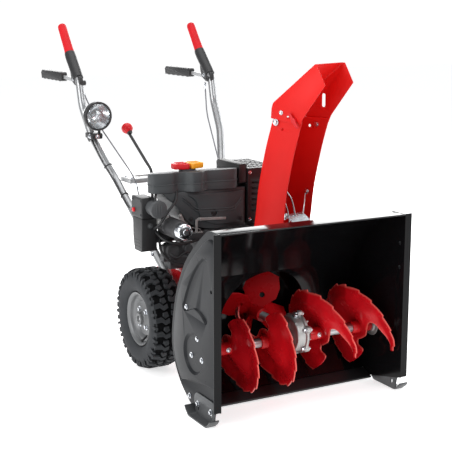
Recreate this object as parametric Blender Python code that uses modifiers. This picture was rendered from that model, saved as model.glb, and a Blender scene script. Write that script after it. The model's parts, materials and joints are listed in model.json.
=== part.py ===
"""Two-stage walk-behind snowblower, 620 mm clearing width, as separate named sub-parts.

Frame: X to the machine's left-to-right as seen from the front, Y from the auger mouth back to the
operator, Z up from the ground. Lengths are metres. Shapes are laid out with Y = 0 at the mouth of
the auger housing; the empty "snowblower_origin" moves the whole machine so that the world origin is
on the ground under the middle of its length.
"""
import math

import bmesh
import bpy
from mathutils import Matrix, Vector
from mathutils.geometry import delaunay_2d_cdt

# ---------------------------------------------------------------- driving dimensions
HALF_LENGTH = 0.755            # mouth to world origin
GAP = 0.0003                   # air left between touching pieces
SHEET = 0.003                  # housing, drum and chassis sheet
HALF_WIDTH = 0.310             # outer face of the side plates
FLANGE_REACH = 0.020           # mouth flange, outward from the side plate
HOUSING_TOP = 0.550
MOUTH_BOTTOM = 0.048
HOUSING_PROFILE = (            # outer surface of the wrap, from the mouth's top edge back and down (Y, Z)
    (0.000, 0.550), (0.055, 0.550), (0.076, 0.545), (0.131, 0.506), (0.198, 0.448), (0.240, 0.391),
    (0.270, 0.334), (0.290, 0.270), (0.301, 0.215), (0.302, 0.172), (0.292, 0.130), (0.270, 0.092),
    (0.242, 0.060), (0.213, 0.039), (0.192, 0.026),
)
SIDE_PROFILE_END = ((0.162, 0.009), (0.030, 0.040), (0.000, 0.048))

AUGER_AXIS = (0.153, 0.177)    # Y, Z
AUGER_RADIUS = 0.1435
AUGER_HUB_RADIUS = 0.019
SHAFT_RADIUS = 0.0125
BLADE_THICKNESS = 0.0035
BLADE_CENTRES = {"left": (0.075, 0.199), "right": (0.120, 0.258)}
BLADE_PHASE = {"left": math.radians(-160.0), "right": 0.0}
BLADE_LEAN = 0.050             # a blade's crown leans toward the gearbox
LEG_LEAN = 0.056               # and its front leg leans back outward
RIM_START = math.radians(112.0)    # the toothed rim, from the front leg over the crown
RIM_END = math.radians(-163.0)     # to the rear foot
RIM_STEPS = 26
TOOTH_DEPTH = 0.0065
HUB_START = {"left": 0.030, "right": 0.070}
HUB_END = 0.296

IMPELLER_Z = 0.210
DRUM_RADIUS = 0.150
DRUM_BACK = 0.430
VANE_TILT = math.radians(48.0)
VANE_PHASE = 23.0              # degrees
IMPELLER_BLADES = 4

CHUTE_CENTRE = (0.095, 0.348)  # X, Y
CHUTE_TURN = math.radians(22.2)
NECK_RADIUS = 0.060
NECK_TOP = 0.462
CHUTE_HALF_WIDTH = 0.071
CHUTE_SHEET = 0.0025
TILT_PIVOT = (0.030, 0.345)   # throw direction, height above the neck's top

WHEEL_Y = 0.597
TYRE_RADIUS = 0.163
TYRE_WIDTH = 0.108
TYRE_CENTRE_X = 0.246
RIM_RADIUS = 0.087
AXLE_RADIUS = 0.0095
TREAD_STEPS = 32

CHASSIS_HALF_WIDTH = 0.162
CHASSIS_TOP = 0.316
CHASSIS_BOTTOM = 0.125
CHASSIS_BACK = 0.720
BELT_COVER_BACK = 0.4845

TUBE_RADIUS = 0.0125
HANDLE_POINTS = (              # right-hand tube, chassis to grip end
    (0.1765, 0.600, 0.284), (0.2080, 0.955, 0.565), (0.2290, 0.995, 0.620), (0.2530, 1.047, 0.700),
    (0.2650, 1.120, 0.800), (0.2620, 1.135, 0.890), (0.2600, 1.215, 0.969), (0.2600, 1.297, 1.075),
)
GRIP_SETBACK = 0.016           # grip mouth above the last bend
GRIP_OVERHANG = 0.006          # closed end past the tube
BEND = 0.015
LEVER_PIVOT = (0.260, 1.172, 0.893)

# ---------------------------------------------------------------- empty scene, collections, materials
for old in list(bpy.data.objects):
    bpy.data.objects.remove(old, do_unlink=True)

scene = bpy.context.scene
parts = bpy.data.collections.new("snowblower")
cutters = bpy.data.collections.new("cutters")
scene.collection.children.link(parts)
scene.collection.children.link(cutters)


def empty(name, at, turn=(0.0, 0.0, 0.0), parent=None):
    """An empty that carries pieces sharing one joint or one frame."""
    ob = bpy.data.objects.new(name, None)
    parts.objects.link(ob)
    ob.location = at
    ob.rotation_euler = turn
    ob.parent = parent
    return ob


root = empty("snowblower_origin", (0.0, -HALF_LENGTH, 0.0))


def material(name, colour, roughness, metallic=0.0):
    """A Principled material with one colour."""
    mat = bpy.data.materials.new(name)
    mat.use_nodes = True
    shader = mat.node_tree.nodes["Principled BSDF"]
    shader.inputs["Base Color"].default_value = (*colour, 1.0)
    shader.inputs["Roughness"].default_value = roughness
    shader.inputs["Metallic"].default_value = metallic
    mat.diffuse_color = (*colour, 1.0)
    return mat


RED = (0.62, 0.012, 0.016)
BLACK = (0.012, 0.012, 0.013)
CHARCOAL = (0.045, 0.048, 0.050)
STEEL = (0.52, 0.52, 0.53)
CAST = (0.42, 0.42, 0.41)
RUBBER = (0.018, 0.019, 0.020)


# ---------------------------------------------------------------- building helpers
def finish(name, mesh, look, at, turn, parent, smooth):
    """Put a mesh in the parts collection as one sub-part."""
    colour, roughness, metallic = look
    mesh.name = name
    mesh.materials.clear()
    mesh.materials.append(material(name, colour, roughness, metallic))
    ob = bpy.data.objects.new(name, mesh)
    parts.objects.link(ob)
    ob.location = at
    ob.rotation_euler = turn
    ob.parent = parent or root
    if smooth:
        mesh.shade_smooth()
        mesh.set_sharp_from_angle(angle=math.radians(35.0))
    return ob


def piece(name, mesh, look, at=(0.0, 0.0, 0.0), turn=(0.0, 0.0, 0.0), parent=None, smooth=False):
    """A sub-part made from a ready mesh."""
    return finish(name, mesh, look, at, turn, parent, smooth)


def guide(name, mesh, at=(0.0, 0.0, 0.0), turn=(0.0, 0.0, 0.0), parent=None):
    """A Boolean operand, kept out of the parts."""
    mesh.name = name
    ob = bpy.data.objects.new(name, mesh)
    cutters.objects.link(ob)
    ob.location = at
    ob.rotation_euler = turn
    ob.parent = parent or root
    ob.hide_render = True
    ob.display_type = "WIRE"
    return ob


def boolean(ob, operation, *operands):
    """Cut or join the operands into an object, in order."""
    for operand in operands:
        mod = ob.modifiers.new(operation.lower() + "_" + operand.name, "BOOLEAN")
        mod.operation = operation
        mod.object = operand
        mod.solver = "EXACT"
    return ob


def cut(ob, *operands):
    return boolean(ob, "DIFFERENCE", *operands)


def join(ob, *operands):
    return boolean(ob, "UNION", *operands)


def bevel(ob, width, segments=1):
    """Rounded edges on the sharp corners of a piece."""
    mod = ob.modifiers.new("edge_round", "BEVEL")
    mod.width = width
    mod.segments = segments
    mod.limit_method = "ANGLE"
    mod.angle_limit = math.radians(40.0)
    return ob


def box_mesh(low, high):
    """An axis-aligned box between two corners."""
    bm = bmesh.new()
    bmesh.ops.create_cube(bm, size=1.0)
    size = [b - a for a, b in zip(low, high)]
    centre = [(a + b) / 2.0 for a, b in zip(low, high)]
    bmesh.ops.scale(bm, vec=size, verts=bm.verts)
    bmesh.ops.translate(bm, vec=centre, verts=bm.verts)
    mesh = bpy.data.meshes.new("box")
    bm.to_mesh(mesh)
    bm.free()
    return mesh


AXIS_TURN = {
    "X": Matrix.Rotation(math.radians(90.0), 4, "Y"),
    "Y": Matrix.Rotation(math.radians(-90.0), 4, "X"),
    "Z": Matrix.Identity(4),
}


def rod_mesh(radius, start, end, segments=20, end_radius=None):
    """A cylinder or cone between two points."""
    start = Vector(start)
    end = Vector(end)
    span = end - start
    bm = bmesh.new()
    tip = radius if end_radius is None else end_radius
    bmesh.ops.create_cone(bm, cap_ends=True, segments=segments, radius1=radius, radius2=tip,
                          depth=span.length)
    turn = Vector((0.0, 0.0, 1.0)).rotation_difference(span.normalized()).to_matrix().to_4x4()
    bmesh.ops.transform(bm, matrix=Matrix.Translation((start + end) / 2.0) @ turn, verts=bm.verts)
    mesh = bpy.data.meshes.new("rod")
    bm.to_mesh(mesh)
    bm.free()
    return mesh


def curve_to_mesh(curve):
    """A closed mesh from a curve, with its caps welded on."""
    ob = bpy.data.objects.new("outline", curve)
    cutters.objects.link(ob)
    depsgraph = bpy.context.evaluated_depsgraph_get()
    mesh = bpy.data.meshes.new_from_object(ob.evaluated_get(depsgraph))
    bpy.data.objects.remove(ob, do_unlink=True)
    bpy.data.curves.remove(curve)
    bm = bmesh.new()
    bm.from_mesh(mesh)
    bmesh.ops.remove_doubles(bm, verts=bm.verts, dist=1e-6)
    bmesh.ops.recalc_face_normals(bm, faces=bm.faces)
    bm.to_mesh(mesh)
    bm.free()
    return mesh


PLANE_TURN = {                 # where a flat outline's own X, Y and thickness go
    "XY": Matrix.Identity(4),
    "XZ": Matrix(((1, 0, 0, 0), (0, 0, -1, 0), (0, 1, 0, 0), (0, 0, 0, 1))),
    "YZ": Matrix(((0, 0, 1, 0), (1, 0, 0, 0), (0, 1, 0, 0), (0, 0, 0, 1))),
}


def slab_mesh(plane, low, high, *outlines):
    """A flat outline, with any holes, given thickness from low to high across its plane."""
    curve = bpy.data.curves.new("outline", "CURVE")
    curve.dimensions = "2D"
    curve.fill_mode = "BOTH"
    curve.extrude = (high - low) / 2.0
    for outline in outlines:
        spline = curve.splines.new("POLY")
        spline.points.add(len(outline) - 1)
        for point, (a, b) in zip(spline.points, outline):
            point.co = (a, b, 0.0, 1.0)
        spline.use_cyclic_u = True
    mesh = curve_to_mesh(curve)
    middle = (low + high) / 2.0
    across = -middle if plane == "XZ" else middle
    mesh.transform(PLANE_TURN[plane] @ Matrix.Translation((0.0, 0.0, across)))
    return mesh


def tube_mesh(points, radius, resolution=2):
    """A round tube or wire through the points."""
    curve = bpy.data.curves.new("tube", "CURVE")
    curve.dimensions = "3D"
    curve.bevel_depth = radius
    curve.bevel_resolution = resolution
    curve.use_fill_caps = True
    spline = curve.splines.new("POLY")
    spline.points.add(len(points) - 1)
    for point, co in zip(spline.points, points):
        point.co = (*co, 1.0)
    return curve_to_mesh(curve)


def rounded_path(points, radius, steps=4):
    """The points with each inner corner replaced by a short quadratic bend."""
    path = [Vector(points[0])]
    for before, corner, after in zip(points, points[1:], points[2:]):
        before, corner, after = Vector(before), Vector(corner), Vector(after)
        reach_in = min(radius, (corner - before).length * 0.45)
        reach_out = min(radius, (after - corner).length * 0.45)
        start = corner + (before - corner).normalized() * reach_in
        end = corner + (after - corner).normalized() * reach_out
        for step in range(steps + 1):
            t = step / steps
            path.append(start.lerp(corner, t).lerp(corner.lerp(end, t), t))
    path.append(Vector(points[-1]))
    return path


def mirrored(points):
    """The same path on the other side of the machine."""
    return [(-x, y, z) for x, y, z in points]


def circle(centre, radius, segments=24):
    """Points of a circle in a flat outline."""
    return [(centre[0] + radius * math.cos(2 * math.pi * i / segments),
             centre[1] + radius * math.sin(2 * math.pi * i / segments)) for i in range(segments)]


def offset_line(points, distance):
    """An open line moved sideways, to its left for a positive distance."""
    moved = []
    for index, point in enumerate(points):
        here = Vector(point)
        ahead = (Vector(points[min(index + 1, len(points) - 1)]) - here)
        behind = (here - Vector(points[max(index - 1, 0)]))
        ahead = ahead if ahead.length else behind
        behind = behind if behind.length else ahead
        normals = [Vector((-d.y, d.x)).normalized() for d in (ahead, behind)]
        bisector = (normals[0] + normals[1]).normalized()
        moved.append(tuple(here + bisector * distance / max(bisector.dot(normals[0]), 0.5)))
    return moved


def turned(name, profile, look, at, axis="Z", steps=24, parent=None):
    """A turned piece: the (radius, height) loop runs down its outer side, spun about the axis."""
    mesh = bpy.data.meshes.new(name)
    bm = bmesh.new()
    verts = [bm.verts.new((r, 0.0, z)) for r, z in profile]
    closed = profile[0][0] > 0.0
    for a, b in zip(verts, verts[1:]):
        bm.edges.new((a, b))
    if closed:
        bm.edges.new((verts[-1], verts[0]))
    bm.to_mesh(mesh)
    bm.free()
    ob = finish(name, mesh, look, at, (0.0, 0.0, 0.0), parent, False)
    ob.rotation_euler = AXIS_TURN[axis].to_euler()
    screw = ob.modifiers.new("turn", "SCREW")
    screw.steps = steps
    screw.render_steps = steps
    screw.use_merge_vertices = True
    screw.merge_threshold = 0.00005
    screw.use_smooth_shade = True
    return ob


def sleeve(outer, inner, bottom, top):
    """Profile of a plain bush."""
    return [(outer, top), (outer, bottom), (inner, bottom), (inner, top)]


SIDES = (("left", -1.0), ("right", 1.0))

# ---------------------------------------------------------------- auger housing
wrap_inner = offset_line(HOUSING_PROFILE, -SHEET)
WRAP_HALF = HALF_WIDTH - SHEET - GAP
housing = piece("auger_housing",
                slab_mesh("YZ", -WRAP_HALF, WRAP_HALF, list(HOUSING_PROFILE) + wrap_inner[::-1]),
                ((0.014, 0.014, 0.015), 0.22, 0.0))
cut(housing, guide("drum_opening", rod_mesh(DRUM_RADIUS, (0.0, 0.15, IMPELLER_Z), (0.0, 0.45, IMPELLER_Z),
                                            36)))

SIDE_OUTLINE = offset_line(HOUSING_PROFILE, 0.003)[1:] + list(SIDE_PROFILE_END) + [(0.0,
                                                                                    HOUSING_TOP + 0.003)]
PANEL_OUTLINE = offset_line(HOUSING_PROFILE, -0.020)[2:-1] + [(0.198, 0.066), (0.050, 0.092),
                                                              (0.024, 0.110),
                                                              (0.024, 0.500), (0.052, 0.527)]
PANEL_RISE = 0.006
WEDGE_OUTLINE = [(0.064, 0.458), (0.087, 0.472), (0.125, 0.444), (0.158, 0.409), (0.184, 0.372),
                 (0.206, 0.333),
                 (0.219, 0.305), (0.210, 0.292), (0.145, 0.310), (0.113, 0.305), (0.078, 0.284),
                 (0.063, 0.300)]
DISH_RADIUS = 0.062
BEARING_FLANGE = 0.0345
BEARING_BODY = 0.0230
for side, sign in SIDES:
    inner = sign * (HALF_WIDTH - SHEET)
    outer = sign * HALF_WIDTH
    panel_top = sign * (HALF_WIDTH + PANEL_RISE)
    plate = piece("side_plate_" + side, slab_mesh("YZ", *sorted((inner, outer)), SIDE_OUTLINE),
                  ((0.105, 0.110, 0.112), 0.33, 0.1))
    root_x = sign * (HALF_WIDTH - SHEET / 2.0)
    flange_x = sign * (HALF_WIDTH + FLANGE_REACH)
    join(plate,
         guide("panel_" + side, slab_mesh("YZ", *sorted((root_x, panel_top)), PANEL_OUTLINE, WEDGE_OUTLINE,
                                          circle(AUGER_AXIS, DISH_RADIUS))),
         guide("mouth_flange_" + side, box_mesh((min(root_x, flange_x), 0.0, MOUTH_BOTTOM + 0.001),
                                                (max(root_x, flange_x), SHEET, HOUSING_TOP + 0.005))))
    bearing = turned("auger_bearing_" + side,
                     [(BEARING_FLANGE, -GAP), (BEARING_FLANGE, -SHEET), (BEARING_BODY, -SHEET),
                      (BEARING_BODY, -0.010),
                      (SHAFT_RADIUS + GAP, -0.010), (SHAFT_RADIUS + GAP, -GAP)],
                     (CAST, 0.4, 0.9), (inner, *AUGER_AXIS), "X", 18)
    if sign < 0:
        bearing.rotation_euler = Matrix.Rotation(math.radians(-90.0), 4, "Y").to_euler()

SCRAPER_OUTLINE = [(0.146, 0.0040), (0.1895, 0.0222), (0.1880, 0.0272), (0.146, 0.0095)]
piece("scraper_bar", slab_mesh("YZ", -WRAP_HALF, WRAP_HALF, SCRAPER_OUTLINE), (BLACK, 0.45, 0.3))

SKID_RUNNER = ((0.006, 0.024), (0.020, 0.0085), (0.038, 0.0), (0.132, 0.0), (0.150, 0.0085), (0.164, 0.024))
SKID_SHEET = 0.004
SKID_WIDTH = 0.030
SKID_PLATE = [(0.028, 0.002), (0.142, 0.002), (0.152, 0.030), (0.138, 0.062), (0.034, 0.062),
              (0.020, 0.034)]
for side, sign in SIDES:
    near = sign * (HALF_WIDTH + GAP)
    runner = list(SKID_RUNNER) + offset_line(SKID_RUNNER, SKID_SHEET)[::-1]
    skid = piece("skid_shoe_" + side, slab_mesh("YZ", *sorted((near, near + sign * SKID_WIDTH)), runner),
                 ((0.05, 0.052, 0.055), 0.45, 0.4))
    join(skid, guide("skid_plate_" + side, slab_mesh("YZ", *sorted((near, near + sign * SKID_SHEET)),
                                                     SKID_PLATE)))
    cut(skid, *[guide("skid_slot_%s_%d" % (side, i), box_mesh(
        (sign * HALF_WIDTH - 0.02, y - 0.004, 0.016), (sign * HALF_WIDTH + 0.02, y + 0.004, 0.034)))
        for i, y in enumerate((0.047, 0.126))])

# ---------------------------------------------------------------- impeller drum with the chute neck
drum = piece("impeller_drum", rod_mesh(DRUM_RADIUS + SHEET, (0.0, 0.20, IMPELLER_Z),
                                       (0.0, DRUM_BACK, IMPELLER_Z), 36),
             ((0.016, 0.016, 0.017), 0.3, 0.0))
join(drum,
     guide("neck_outside", rod_mesh(NECK_RADIUS, (*CHUTE_CENTRE, IMPELLER_Z), (*CHUTE_CENTRE, NECK_TOP),
                                    30)),
     guide("drum_bearing", rod_mesh(0.030, (0.0, DRUM_BACK - 0.008, IMPELLER_Z),
                                    (0.0, DRUM_BACK + 0.012, IMPELLER_Z), 24)))
inside_line = offset_line(HOUSING_PROFILE, GAP)
cut(drum,
    guide("drum_inside", rod_mesh(DRUM_RADIUS, (0.0, 0.10, IMPELLER_Z),
                                  (0.0, DRUM_BACK - SHEET, IMPELLER_Z), 36)),
    guide("neck_inside", rod_mesh(NECK_RADIUS - SHEET, (*CHUTE_CENTRE, IMPELLER_Z + 0.01),
                                  (*CHUTE_CENTRE, NECK_TOP + 0.05), 30)),
    guide("housing_space", slab_mesh("YZ", -0.4, 0.4, inside_line + [(0.1, 0.02), (-0.1, 0.02),
                                                                     (-0.1, 0.55)])),
    guide("drum_shaft_hole", rod_mesh(SHAFT_RADIUS + GAP, (0.0, 0.40, IMPELLER_Z), (0.0, 0.46, IMPELLER_Z),
                                      20)))
# ---------------------------------------------------------------- auger gearbox, shafts and impeller
CASE_RADIUS = 0.056
CASE_CENTRE = (AUGER_AXIS[0], 0.190)
gearbox = piece("gearbox_case", rod_mesh(CASE_RADIUS, (-0.004, *CASE_CENTRE), (0.046, *CASE_CENTRE), 20),
                ((0.50, 0.50, 0.49), 0.42, 0.7))
join(gearbox,
     guide("worm_housing", rod_mesh(0.022, (0.010, AUGER_AXIS[0], IMPELLER_Z), (0.004, 0.236, IMPELLER_Z),
                                    16)),
     guide("side_boss", rod_mesh(0.027, (-0.022, *AUGER_AXIS), (0.064, *AUGER_AXIS), 16)),
     guide("flange_rib", rod_mesh(0.067, (0.030, *CASE_CENTRE), (0.040, *CASE_CENTRE), 20)))
cut(gearbox,
    guide("auger_bore", rod_mesh(SHAFT_RADIUS + GAP, (-0.1, *AUGER_AXIS), (0.1, *AUGER_AXIS))),
    guide("worm_bore", rod_mesh(SHAFT_RADIUS + GAP, (0.0, 0.219, IMPELLER_Z), (0.0, 0.30, IMPELLER_Z))))

auger_pivot = empty("auger_axis", (0.0, *AUGER_AXIS), parent=root)
SHAFT_END = HALF_WIDTH - SHEET - 0.001
piece("auger_shaft", rod_mesh(SHAFT_RADIUS, (-SHAFT_END, 0.0, 0.0), (SHAFT_END, 0.0, 0.0)),
      (STEEL, 0.3, 1.0),
      parent=auger_pivot, smooth=True)

# the open front of a blade, from the rear foot round the hub to the front leg, as (toward the mouth, up)
# parts of the auger radius
OPEN_FRONT = ((0.00, -0.72), (0.11, -0.52), (-0.06, -0.42), (0.00, -0.29), (0.16, -0.22), (0.29, -0.12),
              (0.38, 0.06),
              (0.48, 0.21), (0.58, 0.18), (0.68, -0.06), (0.76, -0.28))


def smoothstep(t):
    t = max(0.0, min(1.0, t))
    return t * t * (3.0 - 2.0 * t)


def blade_lean(across, up):
    """Sideways reach of a blade over a point of its outline."""
    radius = math.hypot(across, up) / AUGER_RADIUS
    angle = math.atan2(across, up)
    if angle > math.radians(125.0):
        angle -= 2.0 * math.pi
    lean = -BLADE_LEAN * math.cos(angle / 2.0) ** 2 * smoothstep(radius / 0.75)
    if angle > 0.0:
        lean += LEG_LEAN * min(1.0, angle / math.radians(95.0)) * smoothstep((radius - 0.3) / 0.5)
    return lean


def blade_mesh(centre, sign, phase):
    """A toothed plate that leans like a screw flight, open at the front."""
    outline = []
    for step in range(RIM_STEPS + 1):
        angle = RIM_START + (RIM_END - RIM_START) * step / RIM_STEPS
        reach = AUGER_RADIUS - BLADE_THICKNESS - (TOOTH_DEPTH if step % 2 else 0.0)
        outline.append(Vector((reach * math.sin(angle), reach * math.cos(angle))))
    outline += [Vector(p) * AUGER_RADIUS for p in OPEN_FRONT]
    pitch = 0.020
    spots = []
    for row in range(-7, 8):
        for column in range(-7, 8):
            spot = Vector(((column + 0.5 * (row % 2)) * pitch, row * pitch * 0.87))
            if spot.length < AUGER_RADIUS - 0.018 and min((spot - p).length for p in outline) > pitch * 0.6:
                spots.append(spot)
    edges = [(k, (k + 1) % len(outline)) for k in range(len(outline))]
    points, _edges, faces = delaunay_2d_cdt(outline + spots, edges, [], 1, 1e-6)[:3]
    bm = bmesh.new()
    verts = [bm.verts.new((centre + blade_lean(p.x, p.y), -p.x, p.y)) for p in points]
    for face in faces:
        bm.faces.new([verts[k] for k in face])
    bmesh.ops.delete(bm, geom=[v for v in bm.verts if not v.link_faces], context="VERTS")
    bmesh.ops.recalc_face_normals(bm, faces=bm.faces)
    bmesh.ops.solidify(bm, geom=bm.faces[:], thickness=BLADE_THICKNESS)
    bmesh.ops.transform(bm, matrix=Matrix.Rotation(phase, 4, "X") @ Matrix.Scale(sign, 4, (1, 0, 0)),
                        verts=bm.verts)
    bmesh.ops.recalc_face_normals(bm, faces=bm.faces)
    mesh = bpy.data.meshes.new("blade")
    bm.to_mesh(mesh)
    bm.free()
    return mesh


for side, sign in SIDES:
    hub = rod_mesh(AUGER_HUB_RADIUS, (sign * HUB_START[side], 0.0, 0.0), (sign * HUB_END, 0.0, 0.0), 16)
    auger = piece("auger_" + side, hub, ((0.55, 0.010, 0.018), 0.3, 0.0), parent=auger_pivot)
    join(auger, *[guide("blade_%s_%d" % (side, i), blade_mesh(centre, sign, BLADE_PHASE[side]),
                        parent=auger_pivot)
                  for i, centre in enumerate(BLADE_CENTRES[side])])
    cut(auger, guide("hub_bore_" + side, rod_mesh(SHAFT_RADIUS + 0.0001, (sign * 0.02, 0.0, 0.0),
                                                  (sign * 0.32, 0.0, 0.0), 20), parent=auger_pivot))

impeller_pivot = empty("impeller_axis", (0.0, 0.350, IMPELLER_Z), parent=root)
PULLEY_RADIUS = 0.062
BELT_Y = 0.462
pulley_z = BELT_Y - 0.350


def pulley_profile(radius, middle):
    """Outer side of a grooved pulley about the middle of its groove, top to bottom."""
    return [(radius, middle + 0.010), (radius, middle + 0.0075), (radius - 0.010, middle + 0.0035),
            (radius - 0.010, middle - 0.0035), (radius, middle - 0.0075), (radius, middle - 0.010)]


turned("impeller_shaft", [(0.0, 0.130), (SHAFT_RADIUS, 0.130), (SHAFT_RADIUS, pulley_z + 0.010)]
       + pulley_profile(PULLEY_RADIUS, pulley_z)
       + [(SHAFT_RADIUS, pulley_z - 0.010), (SHAFT_RADIUS, -0.118), (0.0, -0.118)],
       (STEEL, 0.35, 1.0), (0.0, 0.0, 0.0), "Y", 18, impeller_pivot)
impeller = piece("impeller", rod_mesh(0.021, (0.0, -0.050, 0.0), (0.0, 0.060, 0.0), 24), (RED, 0.32, 0.0),
                 parent=impeller_pivot)
VANE_OUTLINE = [(-0.056, 0.060), (-0.056, 0.095), (-0.040, 0.129), (0.030, 0.137), (0.054, 0.128),
                (0.054, 0.055),
                (0.018, 0.014), (-0.018, 0.014)]
vanes = []
for index in range(IMPELLER_BLADES):
    turn = (0.0, math.radians(360.0 * index / IMPELLER_BLADES + VANE_PHASE), 0.0)
    vane = slab_mesh("YZ", -0.0015, 0.0015, VANE_OUTLINE)
    vane.transform(Matrix.Translation((0.0, 0.010, 0.0)) @ Matrix.Rotation(VANE_TILT, 4, "Z"))
    vanes.append(guide("vane_%d" % index, vane, turn=turn, parent=impeller_pivot))
vanes.append(guide("impeller_disc", rod_mesh(0.080, (0.0, 0.055, 0.0), (0.0, 0.058, 0.0), 28),
                   parent=impeller_pivot))
join(impeller, *vanes)
cut(impeller, guide("impeller_bore", rod_mesh(SHAFT_RADIUS + 0.0004, (0.0, -0.1, 0.0), (0.0, 0.1, 0.0), 20),
                    parent=impeller_pivot))

# ---------------------------------------------------------------- chute: ring, channel, hood
chute_pivot = empty("chute_axis", (*CHUTE_CENTRE, NECK_TOP), (0.0, 0.0, CHUTE_TURN), root)
RING_RADIUS = 0.084
chute_ring = turned("chute_ring", sleeve(RING_RADIUS, NECK_RADIUS - SHEET, 0.0006, 0.0056) ,
                    (BLACK, 0.5, 0.0), (0, 0, 0),
                    steps=30, parent=chute_pivot)
chute_ring.rotation_euler = (0.0, 0.0, 0.0)


def channel_mesh(sections, sheet):
    """A three-sided sheet channel open toward -Y through (throw, height, depth, half width) sections."""
    bm = bmesh.new()
    rows = []
    for back, front, height_back, height_front, half in sections:
        corners = ((-half, -front, height_front), (-half, -back, height_back),
                   (half, -back, height_back), (half, -front, height_front))
        rows.append([bm.verts.new(c) for c in corners])
    for row, following in zip(rows, rows[1:]):
        for k in range(3):
            bm.faces.new((row[k], row[k + 1], following[k + 1], following[k]))
    bmesh.ops.recalc_face_normals(bm, faces=bm.faces)
    bmesh.ops.solidify(bm, geom=bm.faces[:], thickness=sheet)
    bmesh.ops.recalc_face_normals(bm, faces=bm.faces)
    mesh = bpy.data.meshes.new("channel")
    bm.to_mesh(mesh)
    bm.free()
    return mesh


CHUTE_SECTIONS = (             # back, front (throw direction), height at the back, at the front, half width
    (-0.058, 0.054, 0.0065, 0.0065, CHUTE_HALF_WIDTH), (-0.050, 0.062, 0.060, 0.060, CHUTE_HALF_WIDTH),
    (-0.040, 0.072, 0.141, 0.141, CHUTE_HALF_WIDTH), (-0.0155, 0.0965, 0.256, 0.256, CHUTE_HALF_WIDTH),
    (0.0125, 0.124, 0.352, 0.352, CHUTE_HALF_WIDTH),
)
chute = piece("chute", channel_mesh(CHUTE_SECTIONS, CHUTE_SHEET), ((0.72, 0.018, 0.014), 0.3, 0.0),
              parent=chute_pivot)
join(chute, guide("chute_foot", rod_mesh(RING_RADIUS, (0, 0, 0.0060), (0, 0, 0.0090), 30),
                  parent=chute_pivot))
cut(chute, guide("chute_throat", rod_mesh(NECK_RADIUS - 0.006, (0, 0, -0.05), (0, 0, 0.011), 30),
                 parent=chute_pivot))

tilt_pivot = empty("hood_axis", (0.0, -TILT_PIVOT[0], TILT_PIVOT[1]), parent=chute_pivot)
HOOD_HALF = CHUTE_HALF_WIDTH + CHUTE_SHEET + 0.0010
HOOD_SECTIONS = (              # lower lip, shoulder and mouth, measured from the hinge
    (-0.0225, 0.0890, 0.0105, -0.0060, HOOD_HALF), (-0.0200, 0.0990, 0.0500, 0.0175, HOOD_HALF),
    (0.1350, 0.1750, 0.1760, 0.1180, HOOD_HALF),
)
piece("chute_hood", channel_mesh(HOOD_SECTIONS, CHUTE_SHEET), ((0.72, 0.018, 0.014), 0.3, 0.0),
      parent=tilt_pivot)
# ---------------------------------------------------------------- wheels and axle
wheel_pivot = empty("wheel_axis", (0.0, WHEEL_Y, TYRE_RADIUS), parent=root)
piece("axle", rod_mesh(AXLE_RADIUS, (-0.285, 0.0, 0.0), (0.285, 0.0, 0.0)), (STEEL, 0.4, 1.0),
      parent=wheel_pivot,
      smooth=True)


def tyre_mesh():
    """A pneumatic tyre spun from its section, with staggered lugs pulled out of the tread."""
    half = TYRE_WIDTH / 2.0
    bead = RIM_RADIUS + 0.0006
    tread = TYRE_RADIUS - 0.009
    section = ((half - 0.022, bead), (half - 0.006, bead + 0.010), (half, bead + 0.032),
               (half - 0.006, tread - 0.012),
               (half - 0.020, tread - 0.001), (0.004, tread), (-0.004, tread),
               (-half + 0.020, tread - 0.001),
               (-half + 0.006, tread - 0.012), (-half, bead + 0.032), (-half + 0.006, bead + 0.010),
               (-half + 0.022, bead))
    bm = bmesh.new()
    rings = []
    for step in range(TREAD_STEPS):
        angle = 2.0 * math.pi * step / TREAD_STEPS
        rings.append([bm.verts.new((x, r * math.cos(angle), r * math.sin(angle))) for x, r in section])
    lugs = []
    count = len(section)
    for step in range(TREAD_STEPS):
        ring, following = rings[step], rings[(step + 1) % TREAD_STEPS]
        for k in range(count):
            face = bm.faces.new((ring[k], ring[(k + 1) % count], following[(k + 1) % count], following[k]))
            shoulder_left = k in (3, 4)
            shoulder_right = k in (6, 7)
            if (shoulder_left and step % 4 in (0, 1)) or (shoulder_right and step % 4 in (2, 3)):
                lugs.append(face)
    bmesh.ops.recalc_face_normals(bm, faces=bm.faces)
    extruded = bmesh.ops.extrude_face_region(bm, geom=lugs)
    moved = [v for v in extruded["geom"] if isinstance(v, bmesh.types.BMVert)]
    for vert in moved:
        radius = math.hypot(vert.co.y, vert.co.z)
        reach = 0.009 if radius > tread - 0.005 else 0.005
        vert.co.y *= (radius + reach) / radius
        vert.co.z *= (radius + reach) / radius
    bmesh.ops.delete(bm, geom=lugs, context="FACES_ONLY")
    bmesh.ops.recalc_face_normals(bm, faces=bm.faces)
    mesh = bpy.data.meshes.new("tyre")
    bm.to_mesh(mesh)
    bm.free()
    return mesh


for side, sign in SIDES:
    centre = (sign * TYRE_CENTRE_X, 0.0, 0.0)
    piece("tyre_" + side, tyre_mesh(), (RUBBER, 0.85, 0.0), centre, parent=wheel_pivot)
    half = TYRE_WIDTH / 2.0 - 0.020
    hub = AXLE_RADIUS + 0.0001
    rim = turned("rim_" + side,
                 [(hub, half + 0.012), (0.020, half + 0.012), (0.022, half - 0.004), (0.052, half - 0.012),
                  (0.066, half + 0.004), (RIM_RADIUS, half + 0.004), (RIM_RADIUS, -half),
                  (RIM_RADIUS - 0.003, -half),
                  (RIM_RADIUS - 0.004, half - 0.002), (0.053, half - 0.018), (0.022, -half), (hub, -half)],
                 ((0.42, 0.42, 0.42), 0.35, 0.8), centre, "X", 26, wheel_pivot)
    if sign < 0:
        rim.rotation_euler = Matrix.Rotation(math.radians(-90.0), 4, "Y").to_euler()

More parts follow.
